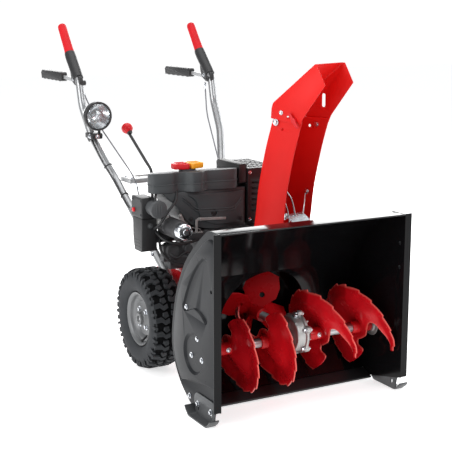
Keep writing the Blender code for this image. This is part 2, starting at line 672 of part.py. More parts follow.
# ---------------------------------------------------------------- chassis
chassis = piece("chassis_frame", box_mesh((-CHASSIS_HALF_WIDTH, DRUM_BACK + 0.001, CHASSIS_BOTTOM),
                                          (CHASSIS_HALF_WIDTH, CHASSIS_BACK, CHASSIS_TOP)),
                                          (RED, 0.35, 0.0))
inside = CHASSIS_HALF_WIDTH - SHEET
cut(chassis,
    guide("chassis_inside", box_mesh((-inside, 0.30, 0.0), (inside, CHASSIS_BACK - SHEET,
                                                            CHASSIS_TOP - SHEET))),
    guide("belt_window", box_mesh((-0.105, 0.30, 0.28), (0.105, BELT_COVER_BACK + 0.003, 0.40))),
    guide("axle_hole", rod_mesh(AXLE_RADIUS + GAP, (-0.3, WHEEL_Y, TYRE_RADIUS),
                                (0.3, WHEEL_Y, TYRE_RADIUS), 24)))
COVER_TOP = 0.460
COVER_OUTLINE = [(-0.095, CHASSIS_TOP + GAP), (0.095, CHASSIS_TOP + GAP), (0.095, 0.420), (0.078, 0.445),
                 (0.045, COVER_TOP), (-0.045, COVER_TOP), (-0.078, 0.445), (-0.095, 0.420)]
cover_inner = [(x * 0.968, min(z, COVER_TOP - 0.0025) - (0.0 if z > 0.4 else 0.05)) for x,
               z in COVER_OUTLINE]
belt_cover = piece("belt_cover", slab_mesh("XZ", DRUM_BACK + 0.001, BELT_COVER_BACK, COVER_OUTLINE),
                   (CHARCOAL, 0.5, 0.0))
cut(belt_cover, guide("belt_space", slab_mesh("XZ", DRUM_BACK + 0.004, BELT_COVER_BACK + 0.02,
                                              cover_inner)))

ENGINE_SHAFT_Z = 0.410
turned("engine_pulley", [(0.0, 0.0385), (0.012, 0.0385), (0.012, 0.010)] + pulley_profile(0.034,
                                                                                          0.0) + [(0.0, -0.010)],
       (CAST, 0.4, 0.8), (0.0, BELT_Y, ENGINE_SHAFT_Z), "Y", 16)


def belt_line(gap):
    """The belt's path round the two pulleys, gap outside their grooves."""
    small, large = 0.024 + gap, 0.052 + gap
    span = ENGINE_SHAFT_Z - IMPELLER_Z
    lean = math.asin((large - small) / span)
    points = []
    for step in range(13):
        angle = lean + (math.pi - 2 * lean) * step / 12
        points.append((small * math.cos(angle), ENGINE_SHAFT_Z + small * math.sin(angle)))
    for step in range(17):
        angle = math.pi - lean + (math.pi + 2 * lean) * step / 16
        points.append((large * math.cos(angle), IMPELLER_Z + large * math.sin(angle)))
    return points


piece("drive_belt", slab_mesh("XZ", BELT_Y - 0.0030, BELT_Y + 0.0030, belt_line(0.009),
                              belt_line(0.001)[::-1]),
      (BLACK, 0.7, 0.0))

# ---------------------------------------------------------------- engine
block = piece("engine_block", box_mesh((-0.110, 0.501, CHASSIS_TOP + GAP), (0.105, 0.690, 0.4545)),
              (CAST, 0.5, 0.7))
join(block,
     guide("starter_arm", box_mesh((-0.196, 0.500, 0.425), (-0.100, 0.520, 0.452))),
     guide("intake_elbow", box_mesh((-0.2465, 0.545, 0.410), (-0.100, 0.595, 0.4545))),
     guide("cylinder_head", box_mesh((0.100, 0.540, 0.345), (0.165, 0.660, 0.4540))))
SHROUD_OUTLINE = [(-0.258, 0.5825), (-0.205, 0.545), (-0.172, 0.500), (-0.128, 0.468), (-0.060, 0.4555),
                  (0.046, 0.4555),
                  (0.046, 0.5825)]
shroud = piece("engine_shroud", slab_mesh("XZ", 0.492, 0.700, SHROUD_OUTLINE), (CHARCOAL, 0.5, 0.0))
join(shroud, guide("shroud_step", slab_mesh("XZ", 0.486, 0.600, [
    (-0.160, 0.574), (-0.130, 0.545), (-0.118, 0.500), (-0.060, 0.470), (0.036, 0.470), (0.036, 0.574)])))
cut(shroud, guide("shroud_corner", slab_mesh("XY", 0.40, 0.62,
                                             [(-0.300, 0.520), (-0.262, 0.520), (-0.150, 0.720),
                                                               (-0.300, 0.720)])))
bevel(shroud, 0.003)
TANK_OUTLINE = [(-0.2805, 0.507), (-0.272, 0.495), (-0.212, 0.486), (-0.196, 0.494), (-0.168, 0.492),
                (-0.150, 0.472),
                (-0.118, 0.468), (-0.100, 0.484), (-0.010, 0.478), (0.012, 0.484), (0.020, 0.505),
                (0.020, 0.690),
                (0.005, 0.712), (-0.165, 0.712), (-0.185, 0.703), (-0.2775, 0.535)]
TANK_BOTTOM = 0.5830
TANK_TOP = 0.6450
CAP_AXIS = (-0.143, 0.528)
tank = piece("fuel_tank", slab_mesh("XY", TANK_BOTTOM, TANK_TOP, TANK_OUTLINE), (CHARCOAL, 0.45, 0.0))
cut(tank, guide("tank_slope", box_mesh((-0.4, 0.0, 0.0), (0.2, 0.4, 0.1)), (0.0, 0.500, TANK_TOP),
                (math.radians(-8.0), 0.0, 0.0)))
join(tank, guide("filler_neck", rod_mesh(0.026, (*CAP_AXIS, 0.60), (*CAP_AXIS, TANK_TOP + 0.0045), 24)))
bevel(tank, 0.006)
cap_pivot = empty("fuel_cap_axis", (*CAP_AXIS, TANK_TOP + 0.005), parent=root)
piece("fuel_cap", slab_mesh("XY", 0.0, 0.020, [(-0.052, -0.018), (-0.003, -0.026), (-0.003, 0.026),
                                               (-0.052, 0.018)]),
      ((0.75, 0.012, 0.02), 0.4, 0.0), parent=cap_pivot)
piece("fuel_cap_grip", slab_mesh("XY", 0.0, 0.020, [(-0.0027, -0.026), (0.052, -0.018), (0.052, 0.018),
                                                    (-0.0027, 0.026)]),
      ((0.90, 0.38, 0.02), 0.4, 0.0), parent=cap_pivot)

guard = piece("muffler_guard", box_mesh((0.0520, 0.4855, 0.462), (0.168, 0.700, 0.641)),
              (CHARCOAL, 0.5, 0.2))
cut(guard, guide("guard_inside", box_mesh((0.0545, 0.4880, 0.30), (0.1655, 0.6975, 0.6385))),
    *[guide("louvre_%d" % i, box_mesh((0.066, 0.45, 0.500 + 0.018 * i), (0.154, 0.495, 0.508 + 0.018 * i)))
      for i in range(6)])
STARTER_AXIS = (-0.212, 0.474)
turned("starter_motor", [(0.0, 0.160), (0.026, 0.160), (0.030, 0.152), (0.030, 0.036), (0.0265, 0.030),
                         (0.0265, 0.006),
                         (0.0215, 0.0), (0.0, 0.0)],
       ((0.40, 0.40, 0.40), 0.35, 0.9), (STARTER_AXIS[0], 0.4000, STARTER_AXIS[1]), "Y", 20)
cut(block, guide("starter_seat", rod_mesh(0.0304, (STARTER_AXIS[0], 0.42, STARTER_AXIS[1]),
                                                                      (STARTER_AXIS[0], 0.60,
                                                                       STARTER_AXIS[1]), 28)))
cut(shroud, guide("starter_relief", rod_mesh(0.0310, (STARTER_AXIS[0], 0.42, STARTER_AXIS[1]),
                                             (STARTER_AXIS[0], 0.57, STARTER_AXIS[1]), 28)))
switch_box = piece("switch_box", box_mesh((-0.303, 0.522, 0.5030), (-0.2600, 0.600, 0.5680)),
                   (BLACK, 0.45, 0.0))
cut(switch_box, guide("button_bore", rod_mesh(0.0072, (-0.32, 0.580, 0.525), (-0.286, 0.580, 0.525), 16)))
bevel(switch_box, 0.003)
piece("start_button", rod_mesh(0.0068, (0.0, 0.0, 0.0), (0.012, 0.0, 0.0), 16),
      ((0.70, 0.01, 0.02), 0.35, 0.0),
      at=(-0.309, 0.580, 0.525))
turned("socket_cap", [(0.0, 0.050), (0.024, 0.050), (0.024, 0.012), (0.030, 0.012), (0.030, 0.002),
                      (0.028, 0.0), (0.0, 0.0)],
       ((0.17, 0.172, 0.175), 0.5, 0.0), (-0.271, 0.4717, 0.537), "Y", 20)
carburettor = piece("carburettor_cover", slab_mesh("YZ", -0.300, -0.2470, [
    (0.535, 0.394), (0.590, 0.394), (0.600, 0.440), (0.600, 0.5020), (0.530, 0.5020)]), (BLACK, 0.5, 0.0))
bevel(carburettor, 0.004)
recoil = turned("recoil_starter", [(0.0, 0.048), (0.060, 0.048), (0.082, 0.034), (0.090, 0.010),
                                   (0.090, 0.0), (0.0, 0.0)],
                (BLACK, 0.45, 0.0), (-0.010, 0.7005, ENGINE_SHAFT_Z + 0.01), "Y", 24)
recoil_grip = piece("recoil_grip", box_mesh((-0.030, 0.0, -0.008), (0.030, 0.018, 0.008)),
                    (BLACK, 0.5, 0.0),
                    at=(-0.010, 0.7490, 0.470))
bevel(recoil_grip, 0.005, 2)
block_back = guide("fan_housing", rod_mesh(0.060, (-0.010, 0.66, ENGINE_SHAFT_Z + 0.01),
                                           (-0.010, 0.7002, ENGINE_SHAFT_Z + 0.01), 32))
join(block, block_back)
cut(shroud, guide("fan_relief", rod_mesh(0.0603, (-0.010, 0.60, ENGINE_SHAFT_Z + 0.01),
                                         (-0.010, 0.75, ENGINE_SHAFT_Z + 0.01), 32)))

# ---------------------------------------------------------------- handlebars and controls
handle_path = rounded_path(HANDLE_POINTS, BEND, 2)
grip_bend = Vector(HANDLE_POINTS[-2])
grip_span = Vector(HANDLE_POINTS[-1]) - grip_bend
grip_mouth = grip_bend + grip_span.normalized() * GRIP_SETBACK
GRIP_LENGTH = grip_span.length - GRIP_SETBACK + GRIP_OVERHANG
grip_turn = Vector((0.0, 0.0, 1.0)).rotation_difference(grip_span.normalized()).to_euler()
for side, sign in SIDES:
    path = handle_path if sign > 0 else mirrored(handle_path)
    piece("handle_tube_" + side, tube_mesh(path, TUBE_RADIUS, 3), ((0.58, 0.58, 0.58), 0.3, 0.9),
          smooth=True)
    grip = turned("grip_" + side, [(0.0, GRIP_LENGTH), (0.012, GRIP_LENGTH), (0.0175, GRIP_LENGTH - 0.005),
                                   (0.0165, GRIP_LENGTH / 2.0), (0.0175, 0.012), (0.0200, 0.010),
                                   (0.0200, 0.0),
                                   (TUBE_RADIUS + GAP, 0.0), (TUBE_RADIUS + GAP, GRIP_LENGTH - 0.004),
                                   (0.0, GRIP_LENGTH - 0.004)],
                  ((0.78, 0.014, 0.022), 0.5, 0.0), (sign * grip_mouth.x, grip_mouth.y, grip_mouth.z), "Z",
                  16)
    grip.rotation_euler = grip_turn
    bracket = piece("lever_bracket_" + side, slab_mesh("YZ", *sorted((sign * 0.238, sign * 0.282)), [
        (1.118, 0.868), (1.150, 0.868), (1.190, 0.884), (1.206, 0.910), (1.212, 0.948), (1.196, 0.972),
        (1.186, 0.966),
        (1.118, 0.900)]), (BLACK, 0.5, 0.0))
    cut(bracket,
        guide("tube_seat_" + side, tube_mesh(path, TUBE_RADIUS + GAP, 3)),
        guide("lever_slot_" + side, box_mesh((sign * LEVER_PIVOT[0] - 0.0075, 1.152, 0.85),
                                             (sign * LEVER_PIVOT[0] + 0.0075, 1.25, 0.926))))
    lever_pivot = empty("clutch_lever_axis_" + side, (sign * LEVER_PIVOT[0], *LEVER_PIVOT[1:]), parent=root)
    lever = piece("clutch_lever_" + side, slab_mesh("YZ", -0.0030, 0.0030, [
        (-0.008, -0.008), (0.030, -0.010), (0.110, -0.004), (0.140, -0.006), (0.140, 0.006), (0.108, 0.008),
        (0.028, 0.004), (0.006, 0.008), (-0.008, 0.006)]), ((0.45, 0.45, 0.46), 0.35, 0.9),
        parent=lever_pivot)
    join(lever, guide("lever_grip_" + side, rod_mesh(0.0105, (0.0, 0.130, 0.0), (0.0, 0.338, 0.0), 16),
                      parent=lever_pivot))

CABLE_POINTS = {
    "left": ((-0.2430, 1.146, 0.8675), (-0.2430, 1.144, 0.845), (-0.2220, 1.060, 0.740),
             (-0.1820, 0.846, 0.578),
             (-0.1600, 0.800, 0.400), (-0.1500, 0.7235, 0.330), (-0.1500, 0.7235, 0.285)),
    "right": ((0.2430, 1.146, 0.8675), (0.2430, 1.144, 0.845), (0.2050, 1.060, 0.760),
              (0.1500, 0.846, 0.578),
              (0.1400, 0.800, 0.400), (0.1400, 0.7235, 0.330), (0.1400, 0.7235, 0.285)),
}
for side, route in CABLE_POINTS.items():
    piece("clutch_cable_" + side, tube_mesh(rounded_path(route, 0.04, 3), 0.0030, 1), (BLACK, 0.5, 0.0),
          smooth=True)

panel = piece("control_panel", box_mesh((-0.192, 0.862, 0.5560), (0.192, 0.942, 0.5720)),
              ((0.45, 0.45, 0.46), 0.4, 0.6))
cut(panel, guide("shift_slot", box_mesh((-0.140, 0.9140, 0.50), (-0.030, 0.9370, 0.62))),
    guide("panel_hollow", box_mesh((-0.189, 0.865, 0.50), (0.189, 0.939, 0.5690))))
shift_pivot = empty("shift_lever_axis", (-0.082, 0.924, 0.480), parent=root)
SHIFT_PATH = ((0.0, 0.0, -0.012), (0.0, 0.0, 0.105), (-0.006, 0.030, 0.130), (-0.0350, 0.1220, 0.2320))
piece("shift_lever", tube_mesh(rounded_path(SHIFT_PATH, 0.03, 3), 0.0055, 2), (BLACK, 0.35, 0.5),
      parent=shift_pivot)
knob_mesh = bpy.data.meshes.new("knob")
knob_bm = bmesh.new()
bmesh.ops.create_uvsphere(knob_bm, u_segments=14, v_segments=10, radius=0.0205)
knob_bm.to_mesh(knob_mesh)
knob_bm.free()
knob = piece("shift_knob", knob_mesh, ((0.75, 0.012, 0.02), 0.25, 0.0), (-0.0365, 0.1265, 0.2430),
             parent=shift_pivot,
             smooth=True)
cut(knob, guide("knob_bore", tube_mesh(rounded_path(SHIFT_PATH, 0.03, 3), 0.0058, 2), parent=shift_pivot))

LAMP_CENTRE = (-0.254, 0.995, 0.778)
LAMP_AXIS = (-0.254, 1.012, 0.7185)
lamp_pivot = empty("headlight_axis", LAMP_AXIS, parent=root)
LAMP_RADIUS = 0.0500
lamp_centre = tuple(c - a for c, a in zip(LAMP_CENTRE, LAMP_AXIS))
turned("headlight_shell", [(0.0, 0.052), (0.0195, 0.051), (0.037, 0.036), (0.0468, 0.012), (0.0485, 0.0),
                           (0.0460, 0.0), (0.0352, 0.033), (0.0177, 0.048), (0.0, 0.049)],
       ((0.55, 0.55, 0.56), 0.3, 0.9), lamp_centre, "Y", 24, lamp_pivot)
turned("headlight_bezel", [(LAMP_RADIUS, -GAP), (LAMP_RADIUS, -0.014), (0.0430, -0.016), (0.0430, -0.0103),
                           (0.0470, -0.0103), (0.0470, -GAP)],
       (BLACK, 0.45, 0.0), lamp_centre, "Y", 24, lamp_pivot)
turned("headlight_lens", [(0.0, -0.0055), (0.0467, -0.0032), (0.0467, -0.0100), (0.0, -0.0135)],
       ((0.86, 0.90, 0.92), 0.05, 0.0), lamp_centre, "Y", 24, lamp_pivot)
bracket = piece("headlight_bracket", box_mesh((-0.2750, 0.9950, 0.6980), (-0.2330, 1.0600, 0.7180)),
                (BLACK, 0.5, 0.1))
cut(bracket, guide("bracket_tube_seat", tube_mesh(mirrored(handle_path), TUBE_RADIUS + GAP, 3)),
    guide("lamp_seat", rod_mesh(LAMP_RADIUS + GAP, (LAMP_CENTRE[0], 0.95, LAMP_CENTRE[2]),
                                (LAMP_CENTRE[0], 1.12, LAMP_CENTRE[2]), 32)))

LEAD_POINTS = ((-0.2640, 1.0300, 0.6965), (-0.2440, 0.981, 0.620), (-0.2220, 0.939, 0.565),
               (-0.2130, 0.830, 0.476),
               (-0.2400, 0.740, 0.500), (-0.2800, 0.640, 0.530), (-0.2800, 0.6005, 0.535))
piece("headlight_lead", tube_mesh(rounded_path(LEAD_POINTS, 0.03, 3), 0.0025, 1), (BLACK, 0.5, 0.0),
      smooth=True)

# ---------------------------------------------------------------- chute crank
CRANK_START = Vector((0.1915, 0.330, 0.4540))
CRANK_END = Vector((0.1700, 0.975, 0.532))
CRANK_ARM = 0.045
crank_span = CRANK_END - CRANK_START
crank_pivot = empty("chute_crank_axis", CRANK_START,
                    Vector((0.0, 1.0, 0.0)).rotation_difference(crank_span.normalized()).to_euler(), root)
crank_length = crank_span.length
crank = piece("chute_crank", rod_mesh(0.0045, (0.0, 0.0, 0.0), (0.0, crank_length, 0.0), 12),
              (STEEL, 0.35, 1.0),
              parent=crank_pivot)
join(crank,
     guide("crank_worm", rod_mesh(0.0090, (0.0, 0.002, 0.0), (0.0, 0.040, 0.0), 16), parent=crank_pivot),
     guide("crank_arm", rod_mesh(0.0042, (-0.0060, crank_length - 0.0075, 0.0),
                                 (CRANK_ARM, crank_length - 0.0075, 0.0), 12),
           parent=crank_pivot),
     guide("crank_pin", rod_mesh(0.0038, (CRANK_ARM - 0.0045, crank_length - 0.0085, 0.0),
                                 (CRANK_ARM - 0.0045, crank_length + 0.010, 0.0), 12), parent=crank_pivot),
     guide("crank_knob", rod_mesh(0.0110, (CRANK_ARM - 0.0045, crank_length + 0.008, 0.0),
                                  (CRANK_ARM - 0.0045, crank_length + 0.062, 0.0), 16), parent=crank_pivot))
worm_bracket = piece("worm_bracket", box_mesh((0.140, 0.328, 0.4400), (0.206, 0.398, 0.4435)),
                     (BLACK, 0.4, 0.3))
join(worm_bracket, guide("worm_upright", box_mesh((0.176, 0.3945, 0.441), (0.206, 0.398, 0.4700))))
cut(worm_bracket, guide("bracket_neck", rod_mesh(NECK_RADIUS + GAP, (*CHUTE_CENTRE, 0.40),
                                                 (*CHUTE_CENTRE, 0.50), 40)),
    guide("bracket_bore", rod_mesh(0.0058, CRANK_START, CRANK_START.lerp(CRANK_END, 0.2), 16)))
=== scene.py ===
"""Looks of the two-stage snowblower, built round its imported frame."""
import json
from math import atan2, cos, exp, pi, radians, sin

import bmesh
import bpy
from mathutils import Matrix, Vector
from mathutils.geometry import delaunay_2d_cdt


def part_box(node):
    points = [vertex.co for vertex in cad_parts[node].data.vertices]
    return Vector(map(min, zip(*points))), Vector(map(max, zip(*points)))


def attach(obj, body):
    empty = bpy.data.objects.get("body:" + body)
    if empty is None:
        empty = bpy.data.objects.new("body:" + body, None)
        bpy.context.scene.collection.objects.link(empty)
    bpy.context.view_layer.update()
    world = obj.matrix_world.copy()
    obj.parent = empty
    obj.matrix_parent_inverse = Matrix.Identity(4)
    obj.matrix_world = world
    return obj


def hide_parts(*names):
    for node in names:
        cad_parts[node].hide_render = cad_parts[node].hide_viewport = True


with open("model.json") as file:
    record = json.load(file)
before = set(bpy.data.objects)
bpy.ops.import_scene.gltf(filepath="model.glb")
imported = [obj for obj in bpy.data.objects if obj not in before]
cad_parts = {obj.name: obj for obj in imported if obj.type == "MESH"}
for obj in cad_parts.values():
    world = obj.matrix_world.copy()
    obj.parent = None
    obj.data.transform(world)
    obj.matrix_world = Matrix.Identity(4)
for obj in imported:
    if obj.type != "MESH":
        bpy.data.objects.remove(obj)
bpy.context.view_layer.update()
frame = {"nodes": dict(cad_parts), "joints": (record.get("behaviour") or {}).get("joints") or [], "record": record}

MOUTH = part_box("auger_housing")[0].y  # shapes below are laid out from the mouth of the housing
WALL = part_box("side_plate_right")[0].x  # inner face of the side plates

# ---------------------------------------------------------------- materials


def dial(node, **values):
    """Sets the unlinked inputs of a shader node; an underscore stands for a space."""
    for name, value in values.items():
        node.inputs[name.replace("_", " ")].default_value = value


def mixed(mat, factor, first, second):
    """Colour mix from first, a socket or a plain colour, to the plain colour second."""
    mix = mat.node_tree.nodes.new("ShaderNodeMix")
    mix.data_type = "RGBA"
    mix.inputs["B"].default_value = second
    mat.node_tree.links.new(factor, mix.inputs["Factor"])
    if isinstance(first, tuple):
        mix.inputs["A"].default_value = first
    else:
        mat.node_tree.links.new(first, mix.inputs["A"])
    return mix.outputs["Result"]


def surface(name, colour, rough, metallic=0, vary=.1, vary_scale=9.0, rough_vary=.06, grain=.15,
    grain_scale=500.0, specular=.5, stretch=(1.0, 1.0, 1.0), dust=0):
    """Procedural finish: clouded colour, uneven gloss and a fine relief at the real scale."""
    mat = bpy.data.materials.new(name)
    mat.use_nodes = True
    nodes, links = mat.node_tree.nodes, mat.node_tree.links
    shader = nodes["Principled BSDF"]
    dial(shader, Metallic=metallic, Specular_IOR_Level=specular)
    coords = nodes.new("ShaderNodeTexCoord")
    mapping = nodes.new("ShaderNodeMapping")
    dial(mapping, Scale=stretch)
    links.new(coords.outputs["Object"], mapping.inputs["Vector"])

    def noise(scale, detail, rough_value):
        node = nodes.new("ShaderNodeTexNoise")
        dial(node, Scale=scale, Detail=detail, Roughness=rough_value)
        links.new(mapping.outputs["Vector"], node.inputs["Vector"])
        return node

    cloud = noise(vary_scale, 5.0, .6)
    ramp = nodes.new("ShaderNodeValToRGB")
    ramp.color_ramp.elements[0].position = .3
    ramp.color_ramp.elements[1].position = .72
    ramp.color_ramp.elements[0].color = (*[c * (1.0 - vary) for c in colour], 1.0)
    ramp.color_ramp.elements[1].color = (*[min(1.0, c * (1.0 + vary)) for c in colour], 1.0)
    links.new(cloud.outputs["Fac"], ramp.inputs["Fac"])
    base = ramp.outputs["Color"]
    if dust > 0:
        speck = noise(vary_scale * 14.0, 3.0, .7)
        threshold = nodes.new("ShaderNodeMapRange")
        dial(threshold, From_Min=.6, From_Max=.78, To_Max=dust)
        links.new(speck.outputs["Fac"], threshold.inputs["Value"])
        base = mixed(mat, threshold.outputs["Result"], base, (.3, .29, .27, 1.0))
    links.new(base, shader.inputs["Base Color"])
    gloss = nodes.new("ShaderNodeMapRange")
    dial(gloss, To_Min=max(.02, rough - rough_vary), To_Max=min(1.0, rough + rough_vary))
    links.new(noise(vary_scale * 3.0, 3.0, .5).outputs["Fac"], gloss.inputs["Value"])
    links.new(gloss.outputs["Result"], shader.inputs["Roughness"])
    bump = nodes.new("ShaderNodeBump")
    dial(bump, Strength=grain, Distance=.0004)
    links.new(noise(grain_scale, 4.0, .55).outputs["Fac"], bump.inputs["Height"])
    links.new(bump.outputs["Normal"], shader.inputs["Normal"])
    return mat


BLACK_GLOSS = surface("black_enamel", (.0045, .0045, .005), .13, specular=.35, rough_vary=.03, grain=.04,
    grain_scale=260)
PLATE_GREY = surface("graphite_enamel", (.016, .017, .019), .3, 0, specular=.12, vary=.06, grain=.12,
    grain_scale=900)
BLACK_SATIN = surface("black_satin", (.012, .012, .013), .42, grain=.15)
SKID_GREY = surface("skid_grey", (.07, .073, .076), .4, .3, vary=.15, dust=.15)
RED_GLOSS = surface("red_enamel", (.56, .006, .01), .28, vary=.05, grain=.06, grain_scale=220, specular=.3)
CHUTE_RED = surface("chute_red", (.7, .01, .008), .4, vary=.04, grain=.08, grain_scale=300, specular=.18)
STEEL = surface("plain_steel", (.5, .5, .51), .32, 1.0, vary=.12, grain=.2, stretch=(.15, 1.0, 1.0))
ZINC = surface("bright_zinc", (.72, .74, .77), .2, 1.0, vary=.15, vary_scale=60, grain=.08)
CAST = surface("cast_aluminium", (.46, .46, .45), .48, .9, vary=.16, vary_scale=30, grain=.7, grain_scale=620)
DARK_CAST = surface("dark_casting", (.075, .075, .078), .5, .6, vary=.2, vary_scale=40, grain=.7,
    grain_scale=520)
PLASTIC = surface("charcoal_plastic", (.05, .054, .057), .48, specular=.35, vary=.07, grain=.35,
    grain_scale=1300)
BLACK_PLASTIC = surface("black_plastic", (.014, .014, .015), .46, vary=.1, grain=.35, grain_scale=1200)
GREY_PLASTIC = surface("grey_plastic", (.06, .063, .066), .5, vary=.06, grain=.35, grain_scale=1200)
RED_PLASTIC = surface("red_plastic", (.62, .008, .014), .32, vary=.04, grain=.12, grain_scale=900, specular=.35)
YELLOW_PLASTIC = surface("yellow_plastic", (.95, .4, .015), .35, vary=.04, grain=.12, grain_scale=900)
RED_RUBBER = surface("red_rubber", (.56, .008, .014), .5, vary=.06, grain=.4, grain_scale=700, specular=.2)
TYRE = surface("tyre_rubber", (.024, .026, .029), .78, vary=.22, vary_scale=22, grain=.8, grain_scale=420,
    dust=.1, specular=.4)
HOSE = surface("hose_rubber", (.012, .012, .013), .5, grain=.3, vary=.2)
RIM_SILVER = surface("rim_silver", (.17, .173, .176), .45, .55, vary=.08, grain=.25, grain_scale=800)
TUBE_SILVER = surface("tube_silver", (.36, .365, .37), .3, .8, vary=.06, grain=.2, grain_scale=900)
PANEL_GREY = surface("panel_grey", (.48, .485, .49), .38, .5, vary=.05, grain=.2, grain_scale=800)
CHROME = surface("reflector_chrome", (.8, .81, .82), .16, 1.0, vary=.02, rough_vary=.02, grain=.02)


def lens_material():
    """Clear ribbed lamp glass."""
    mat = surface("lamp_glass", (.93, .95, .96), .04, vary=.01, rough_vary=.01, grain=.35, grain_scale=160)
    dial(mat.node_tree.nodes["Principled BSDF"], Transmission_Weight=.92, IOR=1.45)
    return mat


GLASS = lens_material()


def inner_paint_and_front_shade(mat, dark):
    """Dark enamel on the inner face of a side plate, and painted shade on the front of its flange."""
    nodes, links = mat.node_tree.nodes, mat.node_tree.links
    shader = nodes["Principled BSDF"]
    coords = nodes.new("ShaderNodeTexCoord")
    split = nodes.new("ShaderNodeSeparateXYZ")
    links.new(coords.outputs["Object"], split.inputs["Vector"])

    def maths(operation, first, second):
        node = nodes.new("ShaderNodeMath")
        node.operation = operation
        for socket, value in zip(node.inputs, (first, second)):
            if isinstance(value, float):
                socket.default_value = value
            else:
                links.new(value, socket)
        return node.outputs["Value"]

    inside = maths("LESS_THAN", maths("ABSOLUTE", split.outputs["X"], 0.0), WALL + .0006)
    # painted shade: the forward face of the flange is darkened like the inner paint
    flange_front_shade = maths("LESS_THAN", split.outputs["Y"], MOUTH + .0012)
    black = maths("MAXIMUM", inside, flange_front_shade)
    for name, value in (("Base Color", (*dark, 1.0)), ("Roughness", (.14, .14, .14, 1.0)),
        ("Metallic", (0, 0, 0, 1.0)), ("Specular IOR Level", (.15, .15, .15, 1.0))):
        socket = shader.inputs[name]
        first = socket.links[0].from_socket if socket.links else (socket.default_value,) * 3 + (1.0,)
        links.new(mixed(mat, black, first, value), socket)


# dark inner paint on the side plates, plus painted shade on the fronts of their flanges
inner_paint_and_front_shade(PLATE_GREY, (.0045, .0045, .005))

# ---------------------------------------------------------------- shape helpers
scene = bpy.context.scene
shift = Matrix.Translation


def spin(degrees, axis):
    return Matrix.Rotation(radians(degrees), 4, axis)


def turns(first, step):
    """Angles all the way round, from first, in degrees, in equal steps."""
    return [radians(v) for v in range(first, first + 360, step)]


def flipped(sign):
    """Mirrors left and right where sign is -1."""
    return Matrix.Scale(sign, 4, (1, 0, 0))


def across(sign, near, far):
    """Two distances from the middle as an ordered pair on one side of the machine."""
    return sorted((sign * near, sign * far))


def put(name, mesh, mat, body, replaces=(), smooth=35.0):
    """One visible piece on one body, in the row frame."""
    mesh.name = name
    mesh.materials.clear()
    mesh.materials.append(mat)
    mesh.shade_smooth()
    mesh.set_sharp_from_angle(angle=radians(smooth))
    ob = bpy.data.objects.new(name, mesh)
    scene.collection.objects.link(ob)
    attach(ob, body)
    if replaces:
        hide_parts(*([replaces] if isinstance(replaces, str) else replaces))
    return ob


def shifted(mesh):
    """A mesh laid out from the mouth, moved into the row frame."""
    mesh.transform(shift((0, MOUTH, 0)))
    return mesh


def to_mesh(bm):
    mesh = bpy.data.meshes.new("shape")
    bmesh.ops.recalc_face_normals(bm, faces=bm.faces)
    bm.to_mesh(mesh)
    bm.free()
    return mesh


def skin(bm, rings):
    """A closed solid over rings of as many vertices each."""
    for a, b in zip(rings, rings[1:]):
        for k in range(len(a)):
            n = (k + 1) % len(a)
            bm.faces.new((a[k], a[n], b[n], b[k]))
    bm.faces.new(rings[0])
    bm.faces.new(rings[-1])
    return to_mesh(bm)


def merged(*meshes):
    """Several closed shapes in one mesh."""
    bm = bmesh.new()
    for mesh in meshes:
        bm.from_mesh(mesh)
        bpy.data.meshes.remove(mesh)
    out = bpy.data.meshes.new("merged")
    bm.to_mesh(out)
    bm.free()
    return out


def applied(mesh, *settings):
    """The mesh after the given modifiers: (type, {property: value})."""
    ob = bpy.data.objects.new("work", mesh)
    scene.collection.objects.link(ob)
    for kind, values in settings:
        mod = ob.modifiers.new(kind, kind)
        for key, value in values.items():
            setattr(mod, key, value)
    graph = bpy.context.evaluated_depsgraph_get()
    out = bpy.data.meshes.new_from_object(ob.evaluated_get(graph))
    bpy.data.objects.remove(ob)
    return out


def rounded(mesh, width, segments=3, angle=32.0):
    return applied(mesh, ("BEVEL", {"width": width, "segments": segments, "limit_method": "ANGLE",
        "angle_limit": radians(angle), "harden_normals": False}))


def box(low, high, round_edge=0, segments=3):
    bm = bmesh.new()
    bmesh.ops.create_cube(bm, size=1.0)
    bmesh.ops.scale(bm, vec=[b - a for a, b in zip(low, high)], verts=bm.verts)
    bmesh.ops.translate(bm, vec=[(a + b) / 2.0 for a, b in zip(low, high)], verts=bm.verts)
    mesh = to_mesh(bm)
    return rounded(mesh, round_edge, segments) if round_edge else mesh


def rod(radius, start, end, segments=32, tip=None, round_edge=0):
    start, end = Vector(start), Vector(end)
    span = end - start
    bm = bmesh.new()
    bmesh.ops.create_cone(bm, cap_ends=True, segments=segments, radius1=radius,
        radius2=radius if tip is None else tip, depth=span.length)
    turn = Vector((0, 0, 1)).rotation_difference(span.normalized()).to_matrix().to_4x4()
    bmesh.ops.transform(bm, matrix=shift((start + end) / 2.0) @ turn, verts=bm.verts)
    mesh = to_mesh(bm)
    return rounded(mesh, round_edge, 2) if round_edge else mesh


def bolt(at, direction, size=.008, head=.005, washer=True):
    """A hexagon bolt head on a washer, pointing along direction."""
    at, direction = Vector(at), Vector(direction).normalized()
    shapes = [rod(size * .58, at + direction * .0012, at + direction * (.0012 + head), 6, size * .54, .0006)]
    if washer:
        shapes.append(rod(size * .85, at - direction * .0006, at + direction * .0014, 24))
    return merged(*shapes)


def ball(radius, at, u, v):
    bm = bmesh.new()
    bmesh.ops.create_uvsphere(bm, u_segments=u, v_segments=v, radius=radius)
    bmesh.ops.translate(bm, vec=at, verts=bm.verts)
    return to_mesh(bm)


